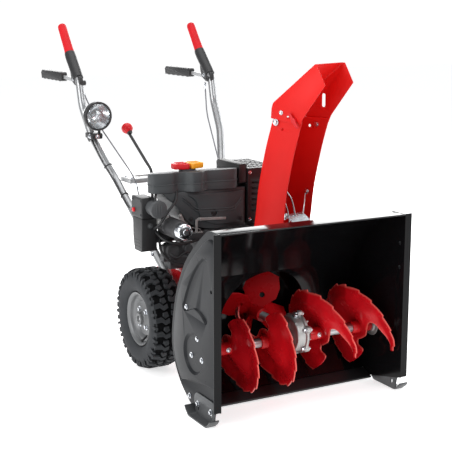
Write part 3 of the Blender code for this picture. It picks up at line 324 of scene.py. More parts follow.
def smooth_path(points, per=6, closed=False):
    """Catmull-Rom curve through the points."""
    pts = [Vector(p) for p in points]
    out = []
    count = len(pts)
    for i in range(count if closed else count - 1):
        p0 = pts[(i - 1) % count] if closed or i > 0 else pts[0]
        p1, p2 = pts[i], pts[(i + 1) % count]
        p3 = pts[(i + 2) % count] if closed or i + 2 < count else pts[-1]
        for k in range(per):
            t = k / per
            out.append(.5 * ((2 * p1) + (p2 - p0) * t + (2 * p0 - 5 * p1 + 4 * p2 - p3) * t * t +
                (3 * p1 - p0 - 3 * p2 + p3) * t ** 3))
    if not closed:
        out.append(pts[-1])
    return out


def bent_path(points, radius, steps=6):
    """Straight runs joined by round bends."""
    path = [Vector(points[0])]
    for before, corner, after in zip(points, points[1:], points[2:]):
        before, corner, after = Vector(before), Vector(corner), Vector(after)
        start = corner + (before - corner).normalized() * min(radius, (corner - before).length * .48)
        end = corner + (after - corner).normalized() * min(radius, (after - corner).length * .48)
        for step in range(steps + 1):
            t = step / steps
            path.append(start.lerp(corner, t).lerp(corner.lerp(end, t), t))
    path.append(Vector(points[-1]))
    return path


def tube(points, radius, sides=16, radii=None):
    """A closed round tube along the points, its radius constant or one per point."""
    pts = [Vector(p) for p in points]
    bm = bmesh.new()
    rings = []
    normal = None
    for i, p in enumerate(pts):
        ahead = (pts[min(i + 1, len(pts) - 1)] - pts[max(i - 1, 0)]).normalized()
        if normal is None:
            normal = ahead.orthogonal().normalized()
        normal = (normal - ahead * normal.dot(ahead)).normalized()
        side = ahead.cross(normal)
        r = radii[i] if radii else radius
        rings.append([bm.verts.new(p + (normal * cos(2 * pi * k / sides) + side * sin(2 * pi * k / sides)) * r)
            for k in range(sides)])
    return skin(bm, rings)


def lathe(profile, at, axis, steps=64):
    """A solid of revolution from a closed (radius, along) loop about an axis vector at a point."""
    turn = Vector((0, 0, 1)).rotation_difference(Vector(axis).normalized()).to_matrix().to_4x4()
    place = shift(at) @ turn
    bm = bmesh.new()
    rings = []
    for r, z in profile:
        if r < 1e-6:
            rings.append([bm.verts.new(place @ Vector((0, 0, z)))])
        else:
            rings.append([bm.verts.new(place @ Vector((r * cos(2 * pi * k / steps), r * sin(2 * pi * k / steps),
                z))) for k in range(steps)])
    loop = list(zip(rings, rings[1:]))
    if len(rings[0]) > 1:
        loop.append((rings[-1], rings[0]))
    for a, b in loop:
        for k in range(steps):
            n = (k + 1) % steps
            if len(a) > 1 and len(b) > 1:
                bm.faces.new((a[k], a[n], b[n], b[k]))
            elif len(b) > 1:
                bm.faces.new((a[0], b[n], b[k]))
            elif len(a) > 1:
                bm.faces.new((a[k], a[n], b[0]))
    return to_mesh(bm)


AXES = {"YZ": lambda a, b, c: (c, a, b), "XZ": lambda a, b, c: (a, c, b), "XY": lambda a, b, c: (a, b, c)}


def slab(plane, low, high, outline, round_edge=0, segments=3, holes=()):
    """A flat outline thickened across its plane, with its rim rounded."""
    where = AXES[plane]
    bm = bmesh.new()
    face = bm.faces.new([bm.verts.new(where(a, b, low)) for a, b in outline])
    grown = bmesh.ops.extrude_face_region(bm, geom=[face])
    move = Vector(where(0, 0, high - low))
    bmesh.ops.translate(bm, vec=move, verts=[v for v in grown["geom"] if isinstance(v, bmesh.types.BMVert)])
    mesh = to_mesh(bm)
    for tool in holes:
        mesh = cut(mesh, tool)
    return rounded(mesh, round_edge, segments) if round_edge else mesh


def cut(mesh, tool, operation="DIFFERENCE"):
    """Boolean of two closed meshes."""
    knife = bpy.data.objects.new("knife", tool)
    scene.collection.objects.link(knife)
    out = applied(mesh, ("BOOLEAN", {"object": knife, "operation": operation, "solver": "EXACT"}))
    bpy.data.objects.remove(knife)
    return out


def offset(points, distance, closed=False):
    """A flat line moved to its left."""
    pts = [Vector(p) for p in points]
    out = []
    count = len(pts)
    for i, here in enumerate(pts):
        before = pts[i - 1] if closed or i > 0 else None
        after = pts[(i + 1) % count] if closed or i + 1 < count else None
        ins = (here - before).normalized() if before is not None else (after - here).normalized()
        outs = (after - here).normalized() if after is not None else ins
        n1, n2 = Vector((-ins.y, ins.x)), Vector((-outs.y, outs.x))
        mid = (n1 + n2).normalized()
        out.append(here + mid * distance / max(mid.dot(n1), .5))
    return out


def casting(parts_list, voxel=.002, passes=6, keep=.35):
    """Shapes fused into one soft-edged casting."""
    return applied(merged(*parts_list), ("REMESH", {"mode": "VOXEL", "voxel_size": voxel}),
        ("SMOOTH", {"iterations": passes, "factor": .5}), ("DECIMATE", {"ratio": keep}))


def dress(node, mat, bevel=0, smooth=35.0):
    """A CAD node that keeps its shape and gets its finish."""
    ob = frame["nodes"][node]
    while len(ob.data.materials) > 1:
        ob.data.materials.pop()
    ob.material_slots[0].material = mat
    weld = ob.modifiers.new("weld", "WELD")
    weld.merge_threshold = .00002
    if bevel:
        edge = ob.modifiers.new("edge", "BEVEL")
        edge.width = bevel
        edge.segments = 2
        edge.limit_method = "ANGLE"
        edge.angle_limit = radians(35.0)
    ob.data.shade_smooth()
    ob.data.set_sharp_from_angle(angle=radians(smooth))
    return ob


SIDES = (("left", -1.0), ("right", 1.0))
JOINTS = {joint["name"]: joint for joint in frame["joints"]}
BODY_OF = {node: body for body, members in frame["record"]["behaviour"]["bodies"].items() for node in members}


def pivot(joint):
    """A joint's place, measured from the mouth like every shape below."""
    return Vector(JOINTS[joint]["pos_m"]) - Vector((0, MOUTH, 0))


def stand_in(node, mesh, mat, smooth=35.0):
    """The finished shape of a CAD node."""
    return put(node + "_shape", shifted(mesh), mat, BODY_OF[node], node, smooth)


def detail(name, mesh, mat, node, smooth=35.0):
    """A finer piece that moves with a CAD node."""
    return put(name, shifted(mesh), mat, BODY_OF[node], (), smooth)


def moved(mesh, matrix):
    mesh.transform(matrix)
    return mesh


# ---------------------------------------------------------------- camera, floor and light
camera = bpy.data.objects.new("camera", bpy.data.cameras.new("camera"))
scene.collection.objects.link(camera)
AZIMUTH, ELEVATION = radians(-28.613), radians(11.462)
back = Vector((sin(AZIMUTH) * cos(ELEVATION), -cos(AZIMUTH) * cos(ELEVATION), sin(ELEVATION)))
camera.location = (-1.658, -3.258, 1.152)
camera.rotation_mode = "QUATERNION"
camera.rotation_quaternion = (-back).to_track_quat("-Z", "Y")
camera.data.lens = 86.9
camera.data.sensor_width = 36.0
scene.camera = camera

bm = bmesh.new()
bmesh.ops.create_grid(bm, x_segments=2, y_segments=2, size=14.0)
floor = bpy.data.objects.new("floor", to_mesh(bm))
scene.collection.objects.link(floor)
floor.location.z = -.0008
floor_mat = surface("floor_paint", (.93, .93, .93), .75, vary=.01, vary_scale=2.0, grain=0, specular=.15)
dial(floor_mat.node_tree.nodes["Principled BSDF"], Emission_Color=(1.0, 1.0, 1.0, 1.0), Emission_Strength=.62)
floor.data.materials.append(floor_mat)


def softbox(name, at, aim, size, power, tint=(1.0, 1.0, 1.0)):
    light = bpy.data.lights.new(name, "AREA")
    light.shape = "RECTANGLE"
    light.size, light.size_y = size
    light.energy = power
    light.color = tint
    ob = bpy.data.objects.new(name, light)
    scene.collection.objects.link(ob)
    ob.location = at
    ob.rotation_mode = "QUATERNION"
    ob.rotation_quaternion = (Vector(aim) - Vector(at)).to_track_quat("-Z", "Y")
    ob.visible_camera = False
    return ob


softbox("left_box", (-3.4, -.9, 1.9), (0, -.2, .45), (2.6, 2.4), 72)
softbox("top_box", (0, .2, 3.4), (0, 0, .4), (3.4, 3.0), 62)
softbox("front_box", (1.2, -4.4, 2.6), (0, -.5, .4), (1.6, 1.4), 52)
softbox("back_box", (1.6, 3.6, 1.7), (0, -.4, .5), (4.4, 2.4), 130)
softbox("right_box", (3.6, .2, 1.6), (0, -.1, .6), (1.6, 2.2), 40)

world = bpy.data.worlds.new("studio")
scene.world = world
world.use_nodes = True
tree = world.node_tree
tree.nodes.clear()
sky_out = tree.nodes.new("ShaderNodeOutputWorld")
path = tree.nodes.new("ShaderNodeLightPath")
choose = tree.nodes.new("ShaderNodeMixShader")
tree.links.new(path.outputs["Is Camera Ray"], choose.inputs["Fac"])
# the sky that lights the machine, then the paler one that the camera sees
for index, (colour, strength) in enumerate((((.95, .97, 1.0, 1.0), .42), ((1.0, 1.0, 1.0, 1.0), 1.05)), 1):
    sky = tree.nodes.new("ShaderNodeBackground")
    dial(sky, Color=colour, Strength=strength)
    tree.links.new(sky.outputs["Background"], choose.inputs[index])
tree.links.new(choose.outputs["Shader"], sky_out.inputs["Surface"])
scene.view_settings.view_transform = "Standard"
scene.view_settings.look = "None"

# ---------------------------------------------------------------- auger housing
SHEET = .003
HOUSING_LINE = ((0, .55), (.055, .55), (.076, .545), (.131, .506), (.198, .448), (.24, .391), (.27, .334),
    (.29, .27), (.301, .215), (.302, .172), (.292, .13), (.27, .092), (.242, .06), (.213, .039), (.192, .026))
profile = [Vector(HOUSING_LINE[0])] + smooth_path([Vector(p) for p in HOUSING_LINE[1:]], 5)
WALL_OUT = WALL + SHEET
WRAP_HALF = WALL - .0003
IMPELLER = pivot("impeller_spin")
AUGER = pivot("auger_spin")
DRUM_RADIUS = .15


def on_shaft(radius, start, end, segments, round_edge=0):
    """A rod on the axis of the impeller."""
    return rod(radius, (0, start, IMPELLER.z), (0, end, IMPELLER.z), segments, round_edge=round_edge)


drum_hole = on_shaft(DRUM_RADIUS, .15, .45, 96)
wrap = slab("YZ", -WRAP_HALF, WRAP_HALF, profile + offset(profile, -SHEET)[::-1], holes=[drum_hole])
hem = tube([(-WRAP_HALF, .0022, .5485), (WRAP_HALF, .0022, .5485)], .0022, 12)
seam = slab("YZ", -WRAP_HALF, WRAP_HALF, [(.184, .019), (.196, .0275), (.199, .0255), (.187, .017)])
stand_in("auger_housing", merged(rounded(wrap, .0006, 2), hem, seam), BLACK_GLOSS, 25)

plate_line = [Vector((0, .5506))] + offset(profile, .0006)[1:] + [Vector(p) for p in ((.162, .009), (.03, .04),
    (0, .048))]
panel_line = smooth_path([(.052, .527), (.075, .522), (.122, .487), (.183, .434), (.222, .381), (.252, .326),
    (.27, .266), (.281, .214), (.282, .175), (.273, .138), (.254, .103), (.23, .078)],
    4) + [Vector(p) for p in ((.15, .098), (.058, .106), (.018, .11), (.018, .505), (.028, .523))]
WEDGE = smooth_path([(.064, .458), (.074, .47), (.088, .472), (.104, .462), (.128, .443), (.158, .409),
    (.184, .372), (.206, .333), (.219, .305), (.214, .294), (.2, .291), (.17, .302), (.145, .31), (.122, .307),
    (.098, .296), (.078, .283), (.066, .29), (.063, .33), (.063, .4)], 4, closed=True)
PANEL_RISE = .006
DISH_RADIUS = .062


def recess(outline, sign, floor_x, top_x, shrink):
    """A pressed recess: its wall slopes in from the outline to a smaller floor."""
    centre = sum(outline, Vector((0, 0))) / len(outline)
    bm = bmesh.new()
    high = [bm.verts.new((sign * top_x, *p)) for p in outline]
    low = [bm.verts.new((sign * floor_x, *(centre + (p - centre) * shrink))) for p in outline]
    return skin(bm, (high, low))


def arc_line(centre, radius, start, end, steps):
    return [Vector((centre[0] + radius * cos(radians(start + (end - start) * k / steps)),
        centre[1] + radius * sin(radians(start + (end - start) * k / steps)))) for k in range(steps + 1)]


for side, sign in SIDES:
    top_x = WALL_OUT + PANEL_RISE
    plate = slab("YZ", *across(sign, WALL, WALL_OUT), plate_line)
    raised = rounded(slab("YZ", *across(sign, (WALL_OUT - .001), top_x), panel_line), .0045, 3)
    plate = cut(plate, raised, "UNION")
    dish = arc_line((AUGER.y, AUGER.z), DISH_RADIUS, 0, 352.5, 47)
    for outline, shrink in ((WEDGE, .93), (dish, .86)):
        plate = cut(plate, recess(outline, sign, WALL_OUT + .0002, top_x + .0003, shrink))
    low, high = across(sign, WALL_OUT - .001, WALL_OUT + .02)
    plate = cut(plate, box((low, 0, .049), (high, SHEET, .552)), "UNION")
    for y, z in (((.023, .46), (.022, .387)) if sign > 0 else ((.042, .384),)):
        plate = cut(plate, rod(.0056, (sign * .3, y, z), (sign * .33, y, z), 24))
    bead = merged(box((-.0006, .0455, .311), (.0012, .0545, .45)), rod(.0045, (-.0006, .05, .311),
        (.0012, .05, .311), 24), rod(.0045, (-.0006, .05, .45), (.0012, .05, .45), 24))
    plate = cut(plate, moved(bead, shift((sign * WALL, 0, 0)) @ flipped(sign)))
    stand_in("side_plate_" + side, rounded(plate, .0008, 2, 40), PLATE_GREY, 28)
    out = Vector((sign, 0, 0))
    dish_x = sign * (WALL_OUT + .0004)
    bolts = [bolt((dish_x, y, z), out, .01, .004) for y, z in ((.136, .226), (.172, .168), (.108, .1695))]
    bolts += [bolt((dish_x, .203, .303), out, .009, .004), bolt((sign * WALL_OUT, .186, .0405), out, .01, .005)]
    detail("plate_bolts_" + side, merged(*bolts), ZINC, "side_plate_" + side)

stand_in("scraper_bar", slab("YZ", -WRAP_HALF, WRAP_HALF, [(.146, .004), (.1905, .0222), (.1922, .0256),
    (.188, .0272), (.146, .0095)], .0006, 2), BLACK_SATIN)
runner = smooth_path([(.006, .024), (.013, .0145), (.024, .006), (.04, 0), (.13, 0), (.146, .006),
    (.157, .0145), (.164, .024)], 5)
runner = [Vector((p.x, max(p.y, 0))) for p in runner]
SKID_PLATE = arc_line((.046, .044), .024, 215, 90, 6) + arc_line((.128, .044), .024, 90, -35,
    6) + [Vector((.14, .002)), Vector((.03, .002))]
for side, sign in SIDES:
    near = sign * (WALL_OUT + .0003)
    shoe = cut(slab("YZ", *sorted((near, near + sign * .03)), runner + offset(runner, .004)[::-1]),
        slab("YZ", *sorted((near, near + sign * .004)), SKID_PLATE), "UNION")
    for y in (.047, .126):
        shoe = cut(shoe, box((sign * .31 - .02, y - .004, .017), (sign * .31 + .02, y + .004, .041)))
    stand_in("skid_shoe_" + side, rounded(shoe, .001, 2), SKID_GREY)
    detail("skid_bolts_" + side, merged(*[bolt((near + sign * .004, y, .036), (sign, 0, 0), .011,
        .006) for y in (.047, .126)]), ZINC, "skid_shoe_" + side)

# ---------------------------------------------------------------- impeller drum and impeller
neck_at = pivot("chute_turn")
NECK_RADIUS = .06
drum = cut(on_shaft(DRUM_RADIUS + SHEET, .2, .43, 96), rod(NECK_RADIUS, (neck_at.x, neck_at.y, IMPELLER.z),
    neck_at, 72), "UNION")
drum = cut(drum, on_shaft(.03, .42, .442, 48), "UNION")
for tool in (on_shaft(DRUM_RADIUS, .1, .427, 96), rod(NECK_RADIUS - SHEET, (neck_at.x, neck_at.y,
    IMPELLER.z + .01), neck_at + Vector((0, 0, .05)), 72), slab("YZ", -.4, .4, offset(profile,
    .0003) + [Vector(p) for p in ((.1, .02), (-.1, .02), (-.1, .55))]), on_shaft(.0132, .4, .46, 40)):
    drum = cut(drum, tool)
stand_in("impeller_drum", rounded(drum, .0012, 2, 40), BLACK_GLOSS)
detail("drum_bolts", merged(*[bolt((.125 * sin(a), .43, IMPELLER.z + .125 * cos(a)), (0, 1, 0),
    .01) for a in turns(30, 60)]), ZINC, "impeller_drum")

VANE_PHASE = 23.0
vanes = [on_shaft(.021, .3, .41, 40, round_edge=.0015), on_shaft(.046, .405, .408, 64, round_edge=.0008)]
for index in range(4):
    vane = slab("YZ", -.0015, .0015, [(-.056, .06), (-.056, .095), (-.04, .129), (.03, .137), (.054, .128),
        (.054, .055), (.018, .014), (-.018, .014)])
    vane = rounded(cut(vane, rod(.0085, (-.01, -.01, .057), (.01, -.01, .057), 28)), .0006, 1)
    turn = shift((0, .36, IMPELLER.z)) @ spin(90.0 * index + VANE_PHASE, "Y")
    vanes.append(moved(vane, turn @ spin(48.0, "Z")))
stand_in("impeller", merged(*vanes), RED_GLOSS)
dress("impeller_shaft", STEEL)

# ---------------------------------------------------------------- augers and their gearbox
AUGER_RADIUS = .1435
BLADE = .0035
TOOTH_PITCH = radians(21.0)
# attribute that carries the painted highlight along the blade edges
EDGE_HIGHLIGHT = "painted_edge_highlight"


def blade_look():
    """Red enamel with a painted highlight: paler along the cut edges."""
    mat = surface("auger_enamel", (.58, .006, .012), .26, vary=.16, vary_scale=11, grain=.08, grain_scale=160,
        specular=.35)
    paint = mat.node_tree.nodes["Principled BSDF"].inputs["Base Color"]
    edge_highlight = mat.node_tree.nodes.new("ShaderNodeAttribute")
    edge_highlight.attribute_name = EDGE_HIGHLIGHT
    highlit_paint = mixed(mat, edge_highlight.outputs["Fac"], paint.links[0].from_socket, (.92, .2, .16, 1.0))
    mat.node_tree.links.new(highlit_paint, paint)
    return mat


BLADE_RED = blade_look()


# The rim runs from the tip of the front leg over the crown and down behind; the open front goes back round the hub,
# as (towards the mouth, up) parts of the auger radius.
RIM_FROM, RIM_TO = 112.0, -163.0
OPEN_FRONT = ((0, -.72), (.1, -.56), (.1, -.48), (-.06, -.42), (-.03, -.31), (.12, -.24), (.28, -.13),
    (.36, .03), (.41, .15), (.48, .21), (.56, .2), (.62, .1), (.68, -.06), (.74, -.22), (.79, -.36))


def closest(point, a, b):
    span = b - a
    t = max(0, min(1.0, (point - a).dot(span) / max(span.length_squared, 1e-12)))
    return a + span * t


def away(point, line):
    """Distance from a point to a polyline."""
    return min((point - closest(point, a, b)).length for a, b in zip(line, line[1:]))


def ease(t):
    t = max(0, min(1.0, t))
    return t * t * (3.0 - 2.0 * t)


def blade_lean(spot):
    """Sideways reach: the crown leans to the gearbox and the front leg back outward."""
    r = spot.length / AUGER_RADIUS
    angle = atan2(spot.x, spot.y)
    if angle > radians(125.0):
        angle -= 2.0 * pi
    lean = -.05 * cos(angle / 2.0) ** 2 * ease(r / .75)
    if angle > 0:
        lean += .056 * min(1.0, angle / radians(95.0)) * ease((r - .3) / .5)
    return lean


def auger_blade(centre, sign, phase):
    """A saw-toothed plate that leans like a screw flight, with a folded lip round its open front."""
    rim = []
    steps = 138
    for step in range(steps + 1):
        angle = radians(RIM_FROM + (RIM_TO - RIM_FROM) * step / steps)
        tooth = .0075 * (1.0 - (angle / TOOTH_PITCH) % 1.0)
        reach = AUGER_RADIUS - BLADE - tooth
        rim.append(Vector((reach * sin(angle), reach * cos(angle))))
    front = smooth_path([rim[-1]] + [Vector(p) * AUGER_RADIUS for p in OPEN_FRONT] + [rim[0]], 5)[1:-1]
    outline = rim + front
    pitch = .0052
    inside = []
    count = int(AUGER_RADIUS / pitch) + 1
    for i in range(-count, count + 1):
        for j in range(-count, count + 1):
            spot = Vector(((i + .5 * (j % 2)) * pitch, j * pitch * .87))
            if spot.length < AUGER_RADIUS and away(spot, outline + outline[:1]) > pitch * .45:
                inside.append(spot)
    edges = [(k, (k + 1) % len(outline)) for k in range(len(outline))]
    spots, _edges, faces = delaunay_2d_cdt(outline + inside, edges, [], 1, 1e-6)[:3]
    bm = bmesh.new()
    highlight_layer = bm.verts.layers.float_color.new(EDGE_HIGHLIGHT)
    verts = []
    for spot in spots:
        r = spot.length / AUGER_RADIUS
        to_lip = away(spot, front[10:-8]) / AUGER_RADIUS
        to_rim = away(spot, rim) / AUGER_RADIUS
        fold = .008 * exp(-(to_lip / .14) ** 2) * ease((r - .15) / .3) * ease((.95 - r) / .25)
        ridge = .0035 * exp(-((to_rim - .32) / .16) ** 2)
        vert = bm.verts.new((centre + blade_lean(spot) + fold - ridge, -spot.x, spot.y))
        # painted highlight: paler paint near the rim and the lip edges
        edge_highlight = .5 * max(0, 1.0 - min(to_rim, to_lip) / .016)
        vert[highlight_layer] = (edge_highlight, edge_highlight, edge_highlight, 1.0)
        verts.append(vert)
    for face in faces:
        bm.faces.new([verts[k] for k in face])
    bmesh.ops.delete(bm, geom=[v for v in bm.verts if not v.link_faces], context="VERTS")
    mesh = applied(to_mesh(bm), ("SOLIDIFY", {"thickness": BLADE, "offset": 0}))
    mesh = moved(mesh, shift(AUGER) @ Matrix.Rotation(phase, 4, "X") @ flipped(sign))
    if sign < 0:
        mesh.flip_normals()
    return mesh


BLADE_CENTRES = {"left": (.075, .199), "right": (.12, .258)}
LEFT_PHASE = radians(-160.0)
for side, sign in SIDES:
    phase = 0 if sign > 0 else LEFT_PHASE
    near, far = BLADE_CENTRES[side]
    start = .07 if sign > 0 else .03
    hub = [rod(.019, (sign * a, AUGER.y, AUGER.z), (sign * b, AUGER.y, AUGER.z), 40, round_edge=.0012) for a,
        b in ((start, near + .022), (far - .03, .296))]
    sleeve = rod(.015, (sign * (near + .0225), AUGER.y, AUGER.z), (sign * (far - .0305), AUGER.y, AUGER.z), 32)
    blades = [auger_blade(centre, sign, phase) for centre in (near, far)]
    stand_in("auger_" + side, merged(*blades), BLADE_RED, 40)
    detail("auger_hubs_" + side, merged(*hub), RED_GLOSS, "auger_" + side)
    detail("auger_sleeve_" + side, sleeve, STEEL, "auger_" + side)
    pins = [bolt((sign * x, AUGER.y - .018, AUGER.z), (0, -1, 0), .009, .005) for x in (near - .018,
        far + .012)]
    detail("shear_pins_" + side, merged(*pins), ZINC, "auger_" + side)
dress("auger_shaft", STEEL)
for side, _sign in SIDES:
    dress("auger_bearing_" + side, CAST, .0008)

CASE_AT = Vector((.035, AUGER.y, .19))
case = [rod(.056, (.001, AUGER.y, .19), (.041, AUGER.y, .19), 48, round_edge=.006), rod(.027,
    (-.022, AUGER.y, AUGER.z), (.064, AUGER.y, AUGER.z), 40, round_edge=.003), rod(.0215,
    (.01, AUGER.y, IMPELLER.z), (.004, .236, IMPELLER.z), 40, round_edge=.003)]
FLANGE_BOLTS = turns(-8, 60)
case.append(rod(.062, (.03, AUGER.y, .19), (.04, AUGER.y, .19), 64, round_edge=.002))
for angle in FLANGE_BOLTS:
    spot = CASE_AT + Vector((0, .0605 * sin(angle), .0605 * cos(angle)))
    case.append(rod(.0105, spot - Vector((.0075, 0, 0)), spot + Vector((.0075, 0, 0)), 24))
for angle in (20, 80, 140, 200, 260, 320):
    case.append(moved(box((.002, -.002, .02), (.05, .002, .056)), shift((0, AUGER.y, .19)) @ spin(-angle, "X")))
stand_in("gearbox_case", casting(case, .0016, 4, .45), CAST, 60)
gear_bolts = []
for angle in FLANGE_BOLTS:
    spot = CASE_AT + Vector((0, .0605 * sin(angle), .0605 * cos(angle)))
    gear_bolts += [bolt(spot + Vector((.0075, 0, 0)), (1, 0, 0), .01, .006), bolt(spot - Vector((.0075, 0, 0)),
        (-1, 0, 0), .01, .006)]
gear_bolts.append(bolt((.02, AUGER.y - .012, .244), (0, -.35, 1.0), .013, .007))
detail("gearbox_bolts", merged(*gear_bolts), ZINC, "gearbox_case")
seal = [(.013, 0), (.0235, 0), (.0235, .0022), (.0165, .003), (.013, .003)]
detail("shaft_seals", merged(lathe(seal, (.064, AUGER.y, AUGER.z), (1, 0, 0)), lathe(seal,
    (-.022, AUGER.y, AUGER.z), (-1, 0, 0))), BLACK_PLASTIC, "gearbox_case")
detail("thrust_nuts", rod(.0215, (-.0255, AUGER.y, AUGER.z), (-.034, AUGER.y, AUGER.z), 6, .0205, .001), ZINC,
    "auger_left")

# ---------------------------------------------------------------- chute and hood
CHUTE_TURN = atan2(JOINTS["hood_tilt"]["axis"][1], JOINTS["hood_tilt"]["axis"][0])
CHUTE = shift(neck_at) @ Matrix.Rotation(CHUTE_TURN, 4, "Z")
HALF, CHUTE_SHEET = .071, .0025


def channel(sections, half, per=8):
    """A three-sided sheet channel through (back, front, height at the back, at the front), its corners rolled."""
    path, heights = ([Vector((*s[k:k + 2], 0)) for s in sections] for k in (0, 2))
    if per:
        path, heights = smooth_path(path, per), smooth_path(heights, per)
    bm = bmesh.new()
    rows = []
    radius, steps = .009, 4
    for reach, height in zip(path, heights):
        line = [(-half, -reach.y, height.y), (-half, -(reach.x + radius), height.x)]
        for k in range(1, steps):
            a = k / steps * pi / 2
            line.append((-half + radius * (1 - cos(a)), -(reach.x + radius * (1 - sin(a))), height.x))
        line.append((-half + radius, -reach.x, height.x))
        line += [(-x, y, z) for x, y, z in line[::-1]]
        rows.append([bm.verts.new(p) for p in line])
    for row, following in zip(rows, rows[1:]):
        for k in range(len(row) - 1):
            bm.faces.new((row[k], row[k + 1], following[k + 1], following[k]))
    return to_mesh(bm)


CHUTE_LINE = ((-.058, .054, .0065, .0065), (-.05, .062, .06, .06), (-.04, .072, .141, .141),
    (-.0155, .0965, .256, .256), (.0125, .124, .352, .352))
HOOD_AT = Vector((0, -.03, .345))
shell = applied(channel(CHUTE_LINE, HALF), ("SOLIDIFY", {"thickness": CHUTE_SHEET, "offset": 0}))
for x in (-1.0, 1.0):
    shell = cut(shell, rod(.0045, (x * .06, -.052, .325), (x * .09, -.052, .325), 20))
foot = cut(rod(.084, (0, 0, .006), (0, 0, .009), 72), rod(.054, (0, 0, 0), (0, 0, .02), 64))
chute_mesh = merged(rounded(shell, .0008, 2, 50), rounded(foot, .0008, 2))
stand_in("chute", moved(chute_mesh, CHUTE), CHUTE_RED, 40)
HOOD_HALF = HALF + CHUTE_SHEET + .001
HOOD_LINE = ((-.0225, .089, .0105, -.006), (-.0205, .096, .042, .012), (-.015, .101, .057, .02),
    (.135, .175, .176, .118))
hood = applied(channel(HOOD_LINE, HOOD_HALF, 0), ("SOLIDIFY", {"thickness": CHUTE_SHEET, "offset": 0}))
slot_at = Vector((HOOD_HALF, -.07, .045))
for tool in (rod(.006, slot_at - Vector((.03, 0, 0)), slot_at + Vector((.03, 0, 0)), 24),
    box(slot_at - Vector((.03, .006, 0)), slot_at + Vector((.03, .006, .03))), rod(.006,
    slot_at + Vector((-.03, 0, .03)), slot_at + Vector((.03, 0, .03)), 24), rod(.0055, (-.1, -.045, .018),
    (-.05, -.045, .018), 24)):
    hood = cut(hood, tool)
hood_place = CHUTE @ shift(HOOD_AT)
stand_in("chute_hood", moved(rounded(hood, .0008, 2, 50), hood_place), CHUTE_RED, 40)
detail("tilt_bolts", moved(merged(*[bolt((x * (HOOD_HALF + .0014), 0, 0), (x, 0, 0), .012, .006) for x in (-1,
    1)], bolt((-HOOD_HALF - .0014, -.02, .03), (-1, 0, 0), .008, .004)), hood_place), ZINC, "chute_hood")
wing = [rod(.0075, (-HOOD_HALF - .001, -.07, .01), (-HOOD_HALF - .012, -.07, .01), 24, round_edge=.001)]
for reach in (-1.0, 1.0):
    wing.append(moved(box((-.0022, 0, -.0055), (.0022, .026, .0055), .002, 2), shift((-HOOD_HALF - .01, -.07,
        .01)) @ spin(52, "X") @ Matrix.Scale(reach, 4, (0, 1, 0))))
detail("wing_nut", moved(casting(wing, .0012, 3, .6), hood_place), RED_PLASTIC, "chute_hood", 60)
detail("cheek_bolt", moved(bolt((HALF - .002, -.078, .33), (-1, 0, 0), .011, .005), CHUTE), ZINC, "chute")
# plate and wire guard over the foot of the channel
guard_plate = [moved(rounded(slab("XY", 0, .0022, [(-.05, -.016), (-.04, -.022), (.026, -.022), (.036, -.016),
    (.036, .018), (-.05, .018)]), .0006, 1), shift((0, -.066, .048)) @ spin(38.0, "X")),
    box((-.07, -.056, .048), (-.048, -.052, .066), .0006, 1)]
detail("chute_guard_plate", moved(merged(*guard_plate), CHUTE), ZINC, "chute")
wires = [tube(bent_path([(-.04, -.062, .012), (-.05, -.06, .07), (-.066, -.056, .115)], .01), .0022, 12),
    tube(bent_path([(.004, -.062, .012), (-.03, -.058, .11), (-.066, -.054, .15)], .01), .0022, 12),
    tube(bent_path([(.016, -.062, .012), (.034, -.06, .08), (.06, -.046, .118)], .01), .0022, 12),
    bolt((.0625, -.05, .12), (-1, -.2, 0), .01, .006)]
detail("chute_guard_wires", moved(merged(*wires), CHUTE), ZINC, "chute")
ring = [(.084, .0006), (.084, .0056), (.057, .0056), (.057, .0006)]
ring_parts = [lathe(ring, (0, 0, 0), (0, 0, 1), 72)]
for k in range(40):
    a = 2 * pi * k / 40
    ring_parts.append(moved(box((.0825, -.0028, .0006), (.088, .0028, .0054), .0008, 1),
        Matrix.Rotation(a, 4, "Z")))
stand_in("chute_ring", moved(merged(*ring_parts), CHUTE), BLACK_PLASTIC)

# ---------------------------------------------------------------- wheels
WHEEL = pivot("wheel_roll")
TYRE_RADIUS, TYRE_HALF, RIM_RADIUS, WHEEL_X = .163, .054, .087, .246
TREAD = TYRE_RADIUS - .0095
PITCHES = 22


def tyre_carcass():
    line = smooth_path([(RIM_RADIUS + .0006, TYRE_HALF - .02, 0), (RIM_RADIUS + .006, TYRE_HALF - .009, 0),
        (RIM_RADIUS + .02, TYRE_HALF - .002, 0), (RIM_RADIUS + .038, TYRE_HALF, 0), (TREAD - .012,
        TYRE_HALF - .005, 0), (TREAD - .003, TYRE_HALF - .014, 0), (TREAD, TYRE_HALF - .03, 0),
        (TREAD + .0008, 0, 0)], 5)
    outline = [(p.x, p.y) for p in line]
    outline += [(r, -z) for r, z in outline[-2::-1]]
    outline += [(RIM_RADIUS + .0006, -TYRE_HALF + .024), (RIM_RADIUS + .0006, TYRE_HALF - .024)]
    return lathe(outline, (0, 0, 0), (1, 0, 0), 132)


def lug(points, low, high, inset):
    """A tread block over a flat outline of (across, along) points, wrapped on the tread."""
    bm = bmesh.new()
    centre = sum((Vector(p) for p in points), Vector((0, 0))) / len(points)
    rows = []
    for radius, shrink in ((low, 1.0), (high - .0012, 1.0 - inset * .6), (high, 1.0 - inset)):
        row = []
        for p in points:
            q = centre + (Vector(p) - centre) * shrink
            drop = .01 * max(0, (abs(q.x) - .03) / .024) ** 1.6
            angle = q.y / TYRE_RADIUS
            row.append(bm.verts.new((q.x, (radius - drop) * sin(angle), (radius - drop) * cos(angle))))
        rows.append(row)
    return skin(bm, rows)


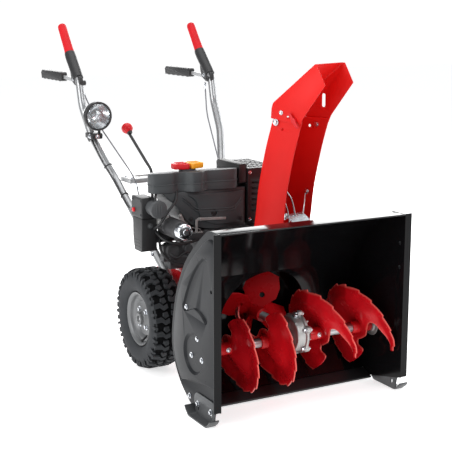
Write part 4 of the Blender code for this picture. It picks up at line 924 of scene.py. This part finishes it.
arc = 2 * pi * TYRE_RADIUS / PITCHES
LUGS = (((.003, 0), (.018, -.006), (.03, .004), (.052, .001), (.052, .015), (.031, .019), (.019, .008),
    (.004, .014)), ((.006, .019), (.018, .013), (.026, .021), (.024, .031), (.01, .033)))
tread_blocks = []
for k in range(PITCHES):
    for flip, start in ((1.0, 0), (-1.0, arc / 2.0)):
        for shape in LUGS:
            block = [(flip * x, y * arc / .042) for x, y in shape]
            mesh = lug(block, TREAD - .006, TYRE_RADIUS - .0003, .1)
            turn = Matrix.Rotation((arc * k + start) / TYRE_RADIUS, 4, "X")
            tread_blocks.append(moved(mesh, turn))
        tread_blocks.append(moved(lug([(flip * .044, .026), (flip * .0535, .026), (flip * .0535, .036),
            (flip * .044, .034)], TREAD - .016, TYRE_RADIUS - .0025, .12),
            Matrix.Rotation((arc * k + start) / TYRE_RADIUS, 4, "X")))
tyre = merged(tyre_carcass(), *tread_blocks)
# painted shade: a near-black rubber that darkens the tread grooves between the lugs
GROOVE_SHADE = surface("painted_groove_shade", (.004, .004, .0045), .9, vary=.3, grain=.8, specular=.1)
floor_line = [(TREAD - .0118, TYRE_HALF - .0044), (TREAD - .002, TYRE_HALF - .0134), (TREAD + .001,
    TYRE_HALF - .03), (TREAD + .0018, 0)]
floor_line += [(r, -x) for r, x in floor_line[-2::-1]]
floor_line += [(r - .002, x) for r, x in floor_line[::-1]]
RIM_FRONT = ((.01, .006), (.019, .006), (.02, -.004), (.023, -.008), (.047, -.014), (.056, -.016), (.06, -.01),
    (.066, -.006), (.074, -.008), (.076, 0), (.08, .004), (.0865, .0075), (.087, .005))
RIM_BACK = ((.083, -.001), (.076, -.004), (.073, -.0112), (.0665, -.0092), (.06, -.0132), (.056, -.019),
    (.047, -.017), (.023, -.012))
for side, sign in SIDES:
    at = shift((sign * WHEEL_X, WHEEL.y, WHEEL.z)) @ flipped(sign)
    mesh = moved(tyre.copy(), at)
    if sign < 0:
        mesh.flip_normals()
    stand_in("tyre_" + side, mesh, TYRE, 40)
    # painted shade in the grooves, a sheet lying just above the carcass
    detail("groove_shade_floor_" + side, lathe(floor_line, (sign * WHEEL_X, WHEEL.y, WHEEL.z), (1, 0, 0), 96), GROOVE_SHADE,
        "tyre_" + side)
    half = TYRE_HALF - .018
    section = [(r, half + x) for r, x in RIM_FRONT] + [(.087, -half - .002), (.084, -half - .002)]
    section += [(r, half + x) for r, x in RIM_BACK] + [(.019, -half), (.01, -half)]
    rim = lathe(section, (sign * WHEEL_X, WHEEL.y, WHEEL.z), (sign, 0, 0), 96)
    stand_in("rim_" + side, rounded(rim, .001, 2, 25), RIM_SILVER, 30)
    face_x = sign * (WHEEL_X + half - .012)
    nuts = [bolt((face_x, WHEEL.y + .034 * sin(a), WHEEL.z + .034 * cos(a)), (sign, 0, 0), .012,
        .007) for a in turns(45, 90)]
    detail("rim_bolts_" + side, merged(*nuts), ZINC, "rim_" + side)
    valve = [rod(.0038, (face_x + sign * .002, WHEEL.y - .03, WHEEL.z - .052), (face_x + sign * .02,
        WHEEL.y - .036, WHEEL.z - .062), 20, .003), rod(.0046, (face_x + sign * .02, WHEEL.y - .036,
        WHEEL.z - .062), (face_x + sign * .027, WHEEL.y - .0383, WHEEL.z - .0659), 20, .0042, .0008)]
    detail("valve_" + side, merged(*valve), BLACK_PLASTIC, "rim_" + side)
    clip = lathe([(.0092, -.0012), (.015, -.0012), (.015, .0012), (.0092, .0012)], (sign * .2835, WHEEL.y,
        WHEEL.z), (1, 0, 0), 48)
    detail("axle_washer_" + side, clip, ZINC, "axle")
dress("axle", STEEL)

# ---------------------------------------------------------------- chassis, belt cover and drive
shell = cut(box((-.162, .431, .125), (.162, .72, .316)), box((-.159, .3, 0), (.159, .717, .313)))
for tool in (box((-.105, .3, .28), (.105, .4875, .4)), rod(.012, (-.3, WHEEL.y, WHEEL.z),
    (.3, WHEEL.y, WHEEL.z), 32)):
    shell = cut(shell, tool)
stand_in("chassis_frame", rounded(shell, .0022, 3), RED_GLOSS)
fittings = []
for side, sign in SIDES:
    face = Vector((sign * .162, WHEEL.y, WHEEL.z))
    fittings.append(lathe([(.0102, 0), (.026, 0), (.026, .0025), (.017, .0045), (.016, .008), (.0102, .008)],
        face, (sign, 0, 0), 48))
    for y, z in ((.03, .022), (-.03, .022), (.03, -.022), (-.03, -.022), (.105, -.015), (-.14, .12)):
        fittings.append(bolt(face + Vector((0, y, z)), (sign, 0, 0), .009, .005))
    for y, z in ((.612, .2935), (.68, .3475)):
        fittings.append(bolt((sign * (.1885 + (y - .6) * .089), y, z), (sign, 0, 0), .01, .006))
detail("chassis_fittings", merged(*fittings), ZINC, "chassis_frame")
COVER = [(-.095, .3163), (.095, .3163), (.095, .42), (.078, .445), (.045, .46), (-.045, .46), (-.078, .445),
    (-.095, .42)]
cover = cut(slab("XZ", .431, .4845, COVER), slab("XZ", .434, .5, [(x * .968,
    z - .0025 if z > .4 else z - .03) for x, z in COVER]))
ribs = [box((x - .0015, .436, .455), (x + .0015, .48, .4612), .0006, 1) for x in (-.03, -.01, .01, .03)]
stand_in("belt_cover", merged(rounded(cover, .0015, 2), *ribs), BLACK_PLASTIC)
dress("engine_pulley", CAST)
dress("drive_belt", HOSE)

# ---------------------------------------------------------------- engine
block = [box((-.11, .506, .3163), (.105, .69, .4545), .005), slab("XZ", .501, .508, arc_line((-.06, .372), .046,
    110, 250, 8) + arc_line((.05, .372), .046, -70, 70, 8), .0015, 2), box((.095, .548, .345),
    (.153, .652, .454), .004), rod(.06, (-.01, .66, .42), (-.01, .7002, .42), 64), box((-.196, .5, .425),
    (-.1, .52, .452), .003), tube(bent_path([(-.1, .57, .432), (-.18, .57, .432), (-.2465, .57, .432)], .02),
    .0195, 32)]
block += [box((.1, .54, .3465 + .0135 * k), (.165, .66, .3495 + .0135 * k), .0008, 1) for k in range(8)]
block += [box((-.1 + .0255 * k, .5015, .428), (-.097 + .0255 * k, .51, .4535), .0008, 1) for k in range(8)]
block += [box((x, .548, .4125), (x + .005, .592, .4515), .0012, 2) for x in (-.12, -.246)]
stand_in("engine_block", merged(*block), DARK_CAST)
block_bolts = [bolt((-.005 + .092 * cos(a), .508, .372 + .038 * sin(a)), (0, -1, 0), .009,
    .005) for a in turns(20, 60)]
block_bolts += [bolt((-.118, .551, z), (-1, 0, 0), .007, .004) for z in (.418, .447)]
detail("engine_bolts", merged(*block_bolts), ZINC, "engine_block")

SHROUD = smooth_path(((-.2465, .5825), (-.228, .563), (-.205, .545), (-.186, .522), (-.172, .5), (-.152, .48),
    (-.128, .468), (-.095, .459), (-.06, .4555)), 3)
SHROUD += [Vector((.046, .4555)), Vector((.046, .5825))]
STEP = smooth_path(((-.16, .572), (-.14, .558), (-.13, .545), (-.124, .52), (-.115, .497), (-.09, .479),
    (-.06, .47)), 3) + [Vector((.036, .47)), Vector((.036, .572))]
shroud = cut(slab("XZ", .492, .7, SHROUD, .005, 3), rod(.031, (-.212, .42, .474), (-.212, .57, .474), 40))
shroud = cut(shroud, slab("XY", .4, .62, [(-.3, .52), (-.262, .52), (-.15, .72), (-.3, .72)]))
shroud = cut(shroud, rod(.0603, (-.01, .6, .42), (-.01, .75, .42), 48))
step = cut(slab("XZ", .486, .6, STEP, .004, 3), rod(.011, (-.069, .48, .508), (-.069, .4925, .508), 32))
swoops = [tube(smooth_path([(x, .4862 + .0045 * (x < -.125), z + lift) for x, z in ((-.178, .566), (-.16, .552),
    (-.14, .5345), (-.122, .526), (-.06, .522), (-.008, .5205), (.01, .528), (.028, .549))], 5), .0018,
    10) for lift in (0, -.008)]
stand_in("engine_shroud", merged(shroud, step, *swoops), PLASTIC)
detail("shroud_screws", merged(rod(.0108, (-.069, .4918, .508), (-.069, .4905, .508), 32),
    bolt((-.069, .49, .508), (0, -1, 0), .009, .002), bolt((-.15, .4915, .494), (0, -1, 0), .008, .003),
    bolt((.026, .4855, .482), (0, -1, 0), .008, .003)), BLACK_PLASTIC, "engine_shroud")

TANK = smooth_path(((-.272, .4965), (-.24, .488), (-.212, .487), (-.196, .494), (-.18, .4945), (-.166, .489),
    (-.152, .473), (-.134, .4685), (-.118, .47), (-.106, .482), (-.09, .486), (-.05, .48), (-.012, .479),
    (.008, .484), (.0185, .5), (.02, .54), (.02, .68), (.01, .704), (-.01, .711), (-.16, .711), (-.183, .702),
    (-.23, .62), (-.2765, .535), (-.28, .51)), 4, closed=True)
tank = [slab("XY", .583, .608, TANK, .006, 3), slab("XY", .609, .645, TANK, .01, 4), slab("XY", .606, .611,
    offset(TANK, -.0016, True), .001, 1)]
slope = moved(box((-.4, 0, 0), (.2, .4, .1)), shift((0, .5, .645)) @ spin(-8.0, "X"))
tank[1] = cut(tank[1], slope)
neck = lathe([(0, -.012), (.033, -.012), (.031, -.006), (.0275, -.004), (.026, .0092), (0, .0092)],
    (-.143, .528, .64), (0, 0, 1), 48)
stand_in("fuel_tank", merged(*tank, neck), PLASTIC, 30)
CAP = pivot("fuel_cap_turn")
for node, mat, reach in (("fuel_cap", RED_PLASTIC, -1.0), ("fuel_cap_grip", YELLOW_PLASTIC, 1.0)):
    edge = [(.003, -.0255), (.016, -.0245), (.034, -.0215), (.047, -.018), (.052, -.012), (.052, .012),
        (.047, .018), (.034, .0215), (.016, .0245), (.003, .0255)]
    half = slab("XY", 0, .018, edge, .0035, 3)
    ridges = [box((.006, y - .0016, .01), (.04, y + .0016, .0199), .0012, 2) for y in (-.014, 0, .014)]
    mesh = moved(merged(half, *ridges), shift(CAP) @ flipped(reach))
    if reach < 0:
        mesh.flip_normals()
    stand_in(node, mesh, mat)

guard = cut(box((.052, .4855, .462), (.168, .7, .641)), box((.0545, .488, .44), (.1655, .6975, .6385)))
louvres = [box((.066, .45, .5 + .018 * k), (.154, .495, .508 + .018 * k)) for k in range(6)]
louvres += [box((.07 + .016 * k, .505 + .036 * j, .6), (.08 + .016 * k, .532 + .036 * j,
    .66)) for k in range(6) for j in range(5)]
louvres += [box((.15, .52 + .022 * k, .5), (.18, .53 + .022 * k, .61)) for k in range(7)]
guard = cut(guard, merged(*louvres))
lips = [box((.066, .4838, .5075 + .018 * k), (.154, .489, .5095 + .018 * k), .0007, 1) for k in range(6)]
stand_in("muffler_guard", merged(rounded(guard, .0015, 2, 60), *lips), BLACK_SATIN)
muffler = merged(box((.07, .515, .48), (.15, .68, .622), .022, 5), rod(.013, (.1, .68, .56), (.1, .6965, .56),
    32, .013, .001))
detail("muffler_body", muffler, DARK_CAST, "muffler_guard")
detail("breather_box", merged(box((.022, .49, .596), (.0515, .64, .656), .003, 2), box((.028, .4885, .602),
    (.0455, .4915, .65), .0012, 2)), BLACK_PLASTIC, "engine_shroud")
detail("guard_screws", merged(*[bolt((x, .4855, z), (0, -1, 0), .007, .003) for x in (.059,
    .161) for z in (.476, .628)]), ZINC, "muffler_guard")

STARTER = Vector((-.212, .4, .474))
stand_in("starter_motor", lathe([(0, .02), (.0262, .02), (.0262, .031), (.0292, .033), (.03, .037), (.03, .096),
    (.0288, .098), (.0288, .104), (.03, .106), (.03, .15), (.026, .16), (0, .16)], STARTER, (0, 1, 0), 72),
    DARK_CAST, 30)
detail("starter_cap", lathe([(0, 0), (.008, 0), (.009, .0018), (.0195, .002), (.0235, .0045), (.0262, .01),
    (.0268, .0285), (.024, .03), (0, .03)], STARTER, (0, 1, 0), 72), ZINC, "starter_motor")
studs = [bolt(STARTER + Vector((.0185 * cos(a), .004, .0185 * sin(a))), (0, -1, 0), .0065,
    .004) for a in (radians(35), radians(215))]
studs += [rod(.0035, STARTER + Vector((0, .125, .028)), STARTER + Vector((0, .125, .04)), 20, round_edge=.0006),
    rod(.0065, STARTER + Vector((0, .125, .028)), STARTER + Vector((0, .125, .033)), 6)]
detail("starter_studs", merged(*studs), ZINC, "starter_motor")

# low casting, carburettor, linkage and hoses beside the shroud
sump = casting([box((-.212, .516, .334), (-.112, .56, .372)), rod(.022, (-.2, .512, .392), (-.2, .565, .392),
    32), rod(.014, (-.15, .505, .398), (-.15, .56, .398), 32), box((-.232, .52, .36), (-.15, .545, .412))],
    .0016, 4, .5)
detail("engine_sump", sump, DARK_CAST, "engine_block", 50)
carb = casting([rod(.017, (-.232, .508, .498), (-.232, .548, .498), 40), box((-.25, .52, .48),
    (-.214, .544, .518)), rod(.0165, (-.232, .532, .5), (-.232, .532, .528), 32), rod(.011, (-.232, .532, .528),
    (-.232, .532, .536), 32)], .0014, 3, .5)
detail("carburettor", carb, CAST, "engine_shroud", 50)
linkage = [slab("XZ", .4834, .485, [(-.127, .489), (-.03, .484), (-.028, .492), (-.127, .498), (-.137, .492),
    (-.138, .452), (-.13, .452), (-.129, .486)], .0005, 1), bolt((-.12, .4834, .4935), (0, -1, 0), .007, .003),
    tube(bent_path([(-.18, .488, .478), (-.16, .487, .47), (-.12, .49, .462), (-.112, .493, .448)], .006),
    .0014, 10), slab("XZ", .488, .49, [(-.196, .512), (-.184, .516), (-.166, .474), (-.16, .446), (-.172, .444),
    (-.18, .47)], .0005, 1), bolt((-.189, .488, .508), (0, -1, 0), .008, .004), bolt((-.167, .488, .452),
    (0, -1, 0), .008, .004)]
coil = [(-.15 + .0008 * k, .486 + .0032 * sin(k * .9), .452 + .0032 * cos(k * .9)) for k in range(48)]
linkage.append(tube(coil, .0006, 6))
detail("throttle_linkage", merged(*linkage), CAST, "engine_block")
hoses = [[(-.25, .52, .594), (-.268, .498, .572), (-.262, .492, .535), (-.246, .502, .508),
    (-.238, .512, .504)], [(-.196, .498, .592), (-.206, .482, .56), (-.236, .474, .53), (-.258, .486, .492),
    (-.262, .52, .47)], [(-.252, .548, .462), (-.244, .5, .44), (-.206, .486, .424), (-.16, .492, .42),
    (-.118, .502, .424)]]
hoses += [[(-.236, .54, .432), (-.242, .52, .4), (-.226, .508, .372), (-.19, .505, .352), (-.14, .506, .345)],
    [(-.205, .545, .415), (-.214, .52, .392), (-.19, .508, .372), (-.16, .51, .386), (-.112, .512, .38)]]
detail("engine_hoses", merged(*[tube(smooth_path(line, 8), .0042, 14) for line in hoses]), HOSE,
    "engine_shroud")
clips = [lathe([(.0042, -.003), (.0056, -.003), (.0056, .003), (.0042, .003)], at, axis, 24) for at,
    axis in (((-.2395, .5105, .5045), (.45, .75, -.2)), ((-.2555, .513, .588), (.6, .7, .6)))]
detail("hose_clips", merged(*clips), ZINC, "engine_shroud")
carburettor = slab("YZ", -.3, -.247, [(.535, .396), (.541, .3945), (.584, .3945), (.59, .396), (.596, .418),
    (.6, .442), (.6, .499), (.597, .502), (.533, .502), (.53, .499)], .0055, 4)
trim = [box((-.3008, .541, .408 + .01 * k), (-.298, .585, .411 + .01 * k), .0006, 1) for k in range(3)]
stand_in("carburettor_cover", merged(carburettor, *trim), BLACK_PLASTIC)
detail("cover_screw", bolt((-.272, .5305, .478), (0, -1, 0), .01, .003), GREY_PLASTIC, "carburettor_cover")

switch = cut(box((-.303, .522, .503), (-.26, .6, .568)), rod(.0072, (-.32, .58, .525), (-.286, .58, .525), 32))
face_plate = cut(box((-.3038, .527, .508), (-.302, .595, .563), .0007, 1), rod(.0076, (-.32, .58, .525),
    (-.29, .58, .525), 32))
stand_in("switch_box", merged(rounded(switch, .0022, 3), face_plate), BLACK_PLASTIC)
detail("switch_screws", merged(*[bolt((-.3035, y, z), (-1, 0, 0), .006, .0018) for y,
    z in ((.532, .558), (.59, .558), (.532, .513))]), GREY_PLASTIC, "switch_box")
stand_in("start_button", lathe([(0, 0), (.005, 0), (.0064, .0008), (.0068, .0024), (.0068, .012), (0, .012)],
    (-.309, .58, .525), (1, 0, 0), 40), RED_PLASTIC)
socket = [lathe([(0, 0), (.023, 0), (.0265, .0012), (.028, .004), (.028, .012), (.024, .013), (.024, .05),
    (0, .05)], (-.267, .4717, .537), (0, 1, 0), 72)]
socket += [box((-.267 - .017 * k - .0012, .4703, .537 - .016), (-.267 - .017 * k + .0012, .4725, .537 + .016),
    .0006, 1) for k in (-.5, 0, .5)]
stand_in("socket_cap", merged(*socket), GREY_PLASTIC)
dome = lathe([(0, .047), (.024, .048), (.052, .047), (.064, .043), (.08, .034), (.088, .018), (.09, .008),
    (.09, 0), (0, 0)], (-.01, .7005, .42), (0, 1, 0), 96)
vents = [moved(box((.03, .03, -.0028), (.058, .06, .0028)), shift((-.01, .7005, .42)) @ spin(20 * k,
    "Y")) for k in range(18)]
stand_in("recoil_starter", cut(dome, merged(*vents)), BLACK_PLASTIC)
detail("recoil_bolts", merged(*[bolt((-.01 + .0835 * cos(a), .724, .42 + .0835 * sin(a)), (0, 1, 0), .007,
    .004) for a in turns(45, 90)]), ZINC, "recoil_starter")
PULL = Vector((-.01, .749, .47))
handle = [(PULL.x + x, PULL.y + y) for x, y in ((-.03, .004), (-.026, .001), (.026, .001), (.03, .004),
    (.03, .014), (.02, .0175), (-.02, .0175), (-.03, .014))]
stand_in("recoil_grip", slab("XY", PULL.z - .008, PULL.z + .008, handle, .004, 4), BLACK_PLASTIC)

# ---------------------------------------------------------------- handlebars, grips, levers and cables
HANDLE = [(.1765, .6, .284), (.208, .955, .565), (.229, .995, .62), (.253, 1.047, .7), (.261, 1.112, .8),
    (.262, 1.135, .89), (.26, 1.215, .969), (.26, 1.297, 1.075)]
CABLE = {"left": ((-.243, 1.146, .8675), (-.243, 1.144, .845), (-.222, 1.06, .74), (-.182, .846, .578),
    (-.16, .8, .4), (-.15, .7235, .33), (-.15, .7235, .286)), "right": ((.243, 1.146, .8675),
    (.243, 1.144, .845), (.205, 1.06, .76), (.15, .846, .578), (.14, .8, .4), (.14, .7235, .33),
    (.14, .7235, .286))}
BRACKET = smooth_path(((1.118, .876), (1.124, .868), (1.15, .868), (1.172, .874), (1.192, .885), (1.205, .908),
    (1.209, .93), (1.211, .95), (1.204, .966), (1.194, .971), (1.182, .962), (1.16, .936), (1.138, .914),
    (1.12, .898)), 4, closed=True)
WIRE_GREY = surface("cable_sheath_grey", (.16, .16, .17), .42, .3, vary=.1, grain=.25)
GRIP_START = .016
for side, sign in SIDES:
    points = [Vector((sign * x, y, z)) for x, y, z in HANDLE]
    stand_in("handle_tube_" + side, tube(bent_path(points, .02, 8), .0134, 32), TUBE_SILVER)
    along = (points[-1] - points[-2]).normalized()
    length = (points[-1] - points[-2]).length - GRIP_START + .0078
    outer = [(0, length), (.007, length - .0004), (.012, length - .003), (.015, length - .0085),
        (.0158, length - .015), (.0158, length * .5), (.0166, .013), (.0172, .006), (.0168, 0), (.0143, 0),
        (.0143, length - .006), (0, length - .006)]
    stand_in("grip_" + side, lathe(outer, points[-2] + along * GRIP_START, along, 48), RED_RUBBER, 40)
    pin = pivot("clutch_%s_squeeze" % side)
    block = slab("YZ", *across(sign, .252, .268), BRACKET, .005, 4)
    block = cut(block, box((pin.x - .0075, 1.152, .85), (pin.x + .0075, 1.25, .926)))
    sleeve_at, sleeve_to = points[-3].lerp(points[-2], .1), points[-2] + along * (GRIP_START + .002)
    lobes = [tube(smooth_path([sleeve_at, points[-3].lerp(points[-2], .75), points[-2] + along * .006,
        sleeve_to], 6), 0, 28, [.0182 + .0014 * sin(pi * k / 18) for k in range(19)]),
        rod(.009, (sign * .239, 1.134, .882), (sign * .27, 1.134, .882), 32, round_edge=.0015)]
    stand_in("lever_bracket_" + side, merged(block, *lobes), BLACK_PLASTIC)
    heads = [bolt((x, y, z), (reach, 0, 0), .0085, .0035) for x, reach in ((sign * .268, sign),
        (sign * .252, -sign)) for y, z in ((pin.y, pin.z), (1.194, .95))]
    detail("bracket_screws_" + side, merged(*heads), ZINC, "lever_bracket_" + side)
    blade = slab("YZ", pin.x - .0028, pin.x + .0028, [(pin.y + y, pin.z + z) for y, z in ((-.008, -.007),
        (-.004, -.009), (.03, -.01), (.108, -.0055), (.138, -.006), (.138, .006), (.108, .008), (.028, .004),
        (.006, .008), (-.004, .008), (-.008, .005))], .0008, 1)
    knuckle = rod(.0075, pin - Vector((.0046, 0, 0)), pin + Vector((.0046, 0, 0)), 24, round_edge=.0006)
    root = lathe([(0, 0), (.0105, 0), (.0105, .004), (0, .004)], pin + Vector((0, .126, 0)), (0, 1, 0), 40)
    stand_in("clutch_lever_" + side, merged(blade, knuckle, root), PANEL_GREY)
    scallops = [(pin.y + .116 + .0017 * k, pin.z - .0115 - .0035 * abs(sin(pi * k / 24))) for k in range(127)]
    feel = slab("YZ", pin.x - .0115, pin.x + .0115, [(pin.y + .3378, pin.z + .008), (pin.y + .326,
        pin.z + .018), (pin.y + .122, pin.z + .0185), (pin.y + .116, pin.z + .013)] + scallops, .006, 3)
    detail("lever_grip_" + side, feel, BLACK_PLASTIC, "clutch_lever_" + side, 60)
    route = bent_path(CABLE[side], .04, 8)
    stand_in("clutch_cable_" + side, tube(route, .0025, 14), WIRE_GREY)
    barrels = []
    for k in (2, 26):
        ahead = (route[k + 1] - route[k - 1]).normalized()
        barrels.append(rod(.005, route[k] - ahead * .012, route[k] + ahead * .012, 24, round_edge=.0012))
    detail("cable_barrels_" + side, merged(*barrels), ZINC, "clutch_cable_" + side)

# ---------------------------------------------------------------- control panel and shift lever
panel = cut(box((-.192, .862, .556), (.192, .942, .572)), box((-.189, .865, .5), (.189, .939, .569)))
panel = cut(panel, box((-.14, .914, .5), (-.03, .937, .62)))
for k in range(6):
    notch_x = -.128 + .0172 * k
    panel = cut(panel, rod(.003, (notch_x, .9135, .5), (notch_x, .9135, .62), 16))
stand_in("control_panel", rounded(panel, .0018, 3), PANEL_GREY)
gate_rim = cut(box((-.15, .906, .5716), (-.02, .94, .5726), .0003, 1), box((-.141, .913, .56),
    (-.029, .938, .58)))
detail("shift_gate_rim", gate_rim, BLACK_PLASTIC, "control_panel")
detail("panel_screws", merged(*[bolt((x, y, .572), (0, 0, 1), .008, .004) for x in (-.18, .18) for y in (.876,
    .928)]), ZINC, "control_panel")
SHIFT = pivot("shift_swing")
stem = bent_path([(0, 0, -.012), (0, 0, .105), (-.006, .03, .13), (-.035, .122, .232)], .03, 8)
stand_in("shift_lever", tube([SHIFT + p for p in stem], .0053, 20), BLACK_SATIN)
knob_at = SHIFT + Vector((-.0365, .1265, .243))
aim = (stem[-1] - stem[-2]).normalized()
stand_in("shift_knob", ball(.0203, knob_at, 56, 36), RED_PLASTIC, 60)
detail("knob_collar", lathe([(.0056, -.024), (.0085, -.024), (.0105, -.019), (.0112, -.0155), (.0056, -.0155)],
    knob_at, aim, 40), BLACK_PLASTIC, "shift_knob")

# ---------------------------------------------------------------- work lamp
LAMP = Vector((-.254, .995, .778))
stand_in("headlight_shell", lathe([(0, .052), (.0106, .0518), (.0212, .05), (.0318, .0425), (.0407, .029),
    (.0464, .013), (.0485, 0), (.0464, 0), (.0442, .013), (.0385, .0275), (.03, .04), (.0195, .047), (0, .049)],
    LAMP, (0, 1, 0), 72), TUBE_SILVER)
mirror_line = [(.0062 + .0048 * k, .03 + .0046 * (1 - (k / 8.0) ** 2) - .03 * (k / 8.0) ** 2) for k in range(9)]
mirror = lathe(mirror_line + [(r + .0006, z + .0012) for r, z in mirror_line[::-1]], LAMP, (0, 1, 0), 96)
detail("headlight_reflector", mirror, CHROME, "headlight_shell", 50)
detail("headlight_bulb", merged(rod(.005, LAMP + Vector((0, .006, 0)), LAMP + Vector((0, .03, 0)), 24, .0066,
    .0008), ball(.0062, LAMP + Vector((0, .0045, 0)), 24, 16)), ZINC, "headlight_shell")
stand_in("headlight_bezel", lathe([(.05, -.0003), (.0502, -.006), (.0496, -.0135), (.047, -.0158),
    (.0438, -.016), (.0424, -.0145), (.0426, -.0103), (.047, -.0103), (.047, -.0003)], LAMP, (0, 1, 0), 96),
    BLACK_PLASTIC)
glass = [(0, -.006), (.026, -.005), (.0467, -.0032), (.0467, -.0095), (.042, -.0108), (.026, -.0128),
    (0, -.0135)]
stand_in("headlight_lens", lathe(glass, LAMP, (0, 1, 0), 96), GLASS)
saddle = cut(box((-.2745, .996, .698), (-.2335, 1.059, .718), .004, 3), rod(.0503, (-.254, .95, .778),
    (-.254, 1.12, .778), 64))
arms = [cut(slab("YZ", x - .0011, x + .0011, [(1.0, .7125), (1.026, .7125), (1.022, .7295), (1.004, .7295)],
    .0004, 1), rod(.0504, (-.254, .95, .778), (-.254, 1.12, .778), 64)) for x in (-.268, -.24)]
clamp = lathe([(.0127, -.009), (.0172, -.009), (.018, -.006), (.018, .006), (.0172, .009), (.0127, .009)],
    (-.253, 1.047, .7), (-.012, .073, .1), 48)
stand_in("headlight_bracket", merged(saddle, clamp, *arms), BLACK_SATIN)
detail("lamp_bolts", merged(bolt((-.2745, 1.012, .7075), (-1, 0, 0), .01, .005), bolt((-.2335, 1.012, .7075),
    (1, 0, 0), .01, .005), bolt((-.254, .996, .7065), (0, -1, 0), .009, .004)), ZINC, "headlight_bracket")
LEAD = [(-.264, 1.03, .696), (-.244, .981, .62), (-.222, .939, .565), (-.213, .83, .476), (-.24, .74, .5),
    (-.28, .64, .53), (-.28, .6005, .535)]
stand_in("headlight_lead", tube(bent_path(LEAD, .05, 8), .0024, 12), HOSE)
ties = []
for (x, y, z), (dx, dy, dz) in (((-.2225, .983, .6035), (-.021, .04, .055)), ((-.202, .888, .512),
    (-.0315, .355, .281))):
    ties.append(lathe([(.0126, -.002), (.015, -.002), (.015, .002), (.0126, .002)], (x, y, z), (dx, dy, dz),
        32))
detail("cable_ties", merged(*ties), BLACK_PLASTIC, "handle_tube_left")

# ---------------------------------------------------------------- chute crank
CRANK = pivot("chute_crank_turn")
TURN = Vector(JOINTS["chute_crank_turn"]["axis"])
PLACE = shift(CRANK) @ Vector((0, 1, 0)).rotation_difference(TURN).to_matrix().to_4x4()
REACH, ARM = (Vector((.17, .975, .532)) - CRANK).length, .045
worm = [(0, .0015), (.0055, .0015)]
for k in range(7):
    worm += [(.006, .003 + .0052 * k), (.0089, .0046 + .0052 * k), (.0089, .0058 + .0052 * k),
        (.006, .0076 + .0052 * k)]
worm += [(.0055, .04), (0, .04)]
path = bent_path([(0, 0, 0), (0, REACH - .0075, 0), (ARM - .0045, REACH - .0075, 0), (ARM - .0045, REACH + .012,
    0)], .009, 8)
stand_in("chute_crank", moved(merged(tube(path, .0042, 20), lathe(worm, (0, 0, 0), (0, 1, 0), 40)), PLACE),
    STEEL)
knob = lathe([(0, 0), (.007, 0), (.0095, .003), (.0085, .012), (.0105, .03), (.011, .043), (.009, .0515),
    (.005, .054), (0, .054)], (ARM - .0045, REACH + .008, 0), (0, 1, 0), 48)
detail("crank_knob", moved(knob, PLACE), BLACK_PLASTIC, "chute_crank")
plate = cut(slab("XY", .44, .4435, [(.14, .336), (.148, .328), (.198, .328), (.206, .336), (.206, .398),
    (.14, .398)]), rod(.0603, (neck_at.x, neck_at.y, .4), (neck_at.x, neck_at.y, .5), 72))
upright = slab("XZ", .3945, .398, [(.176, .441), (.206, .441), (.206, .464), (.2, .47), (.182, .47),
    (.176, .464)])
plate = cut(cut(plate, upright, "UNION"), rod(.0058, CRANK, CRANK + TURN * .13, 32))
stand_in("worm_bracket", rounded(plate, .0007, 2, 40), BLACK_SATIN)
detail("worm_bracket_bolts", merged(*[bolt((x, y, .4435), (0, 0, 1), .008, .004) for x,
    y in ((.166, .338), (.164, .388))]), ZINC, "worm_bracket")

# ---------------------------------------------------------------- pieces that keep their shape
CLASS_LOOK = {"painted_metal": BLACK_SATIN, "cast_iron": CAST, "brushed_steel": STEEL,
    "matte_plastic": BLACK_PLASTIC, "rubber": HOSE, "aluminium": CAST, "gloss_plastic": RED_PLASTIC,
    "tyre": TYRE, "glass": GLASS}
CLASSES = {m["slot"]: m["class"] for m in frame["record"]["materials"]}
for name, ob in frame["nodes"].items():
    if not ob.hide_render and name in CLASSES and not ob.modifiers:
        dress(name, CLASS_LOOK.get(CLASSES[name], BLACK_PLASTIC))
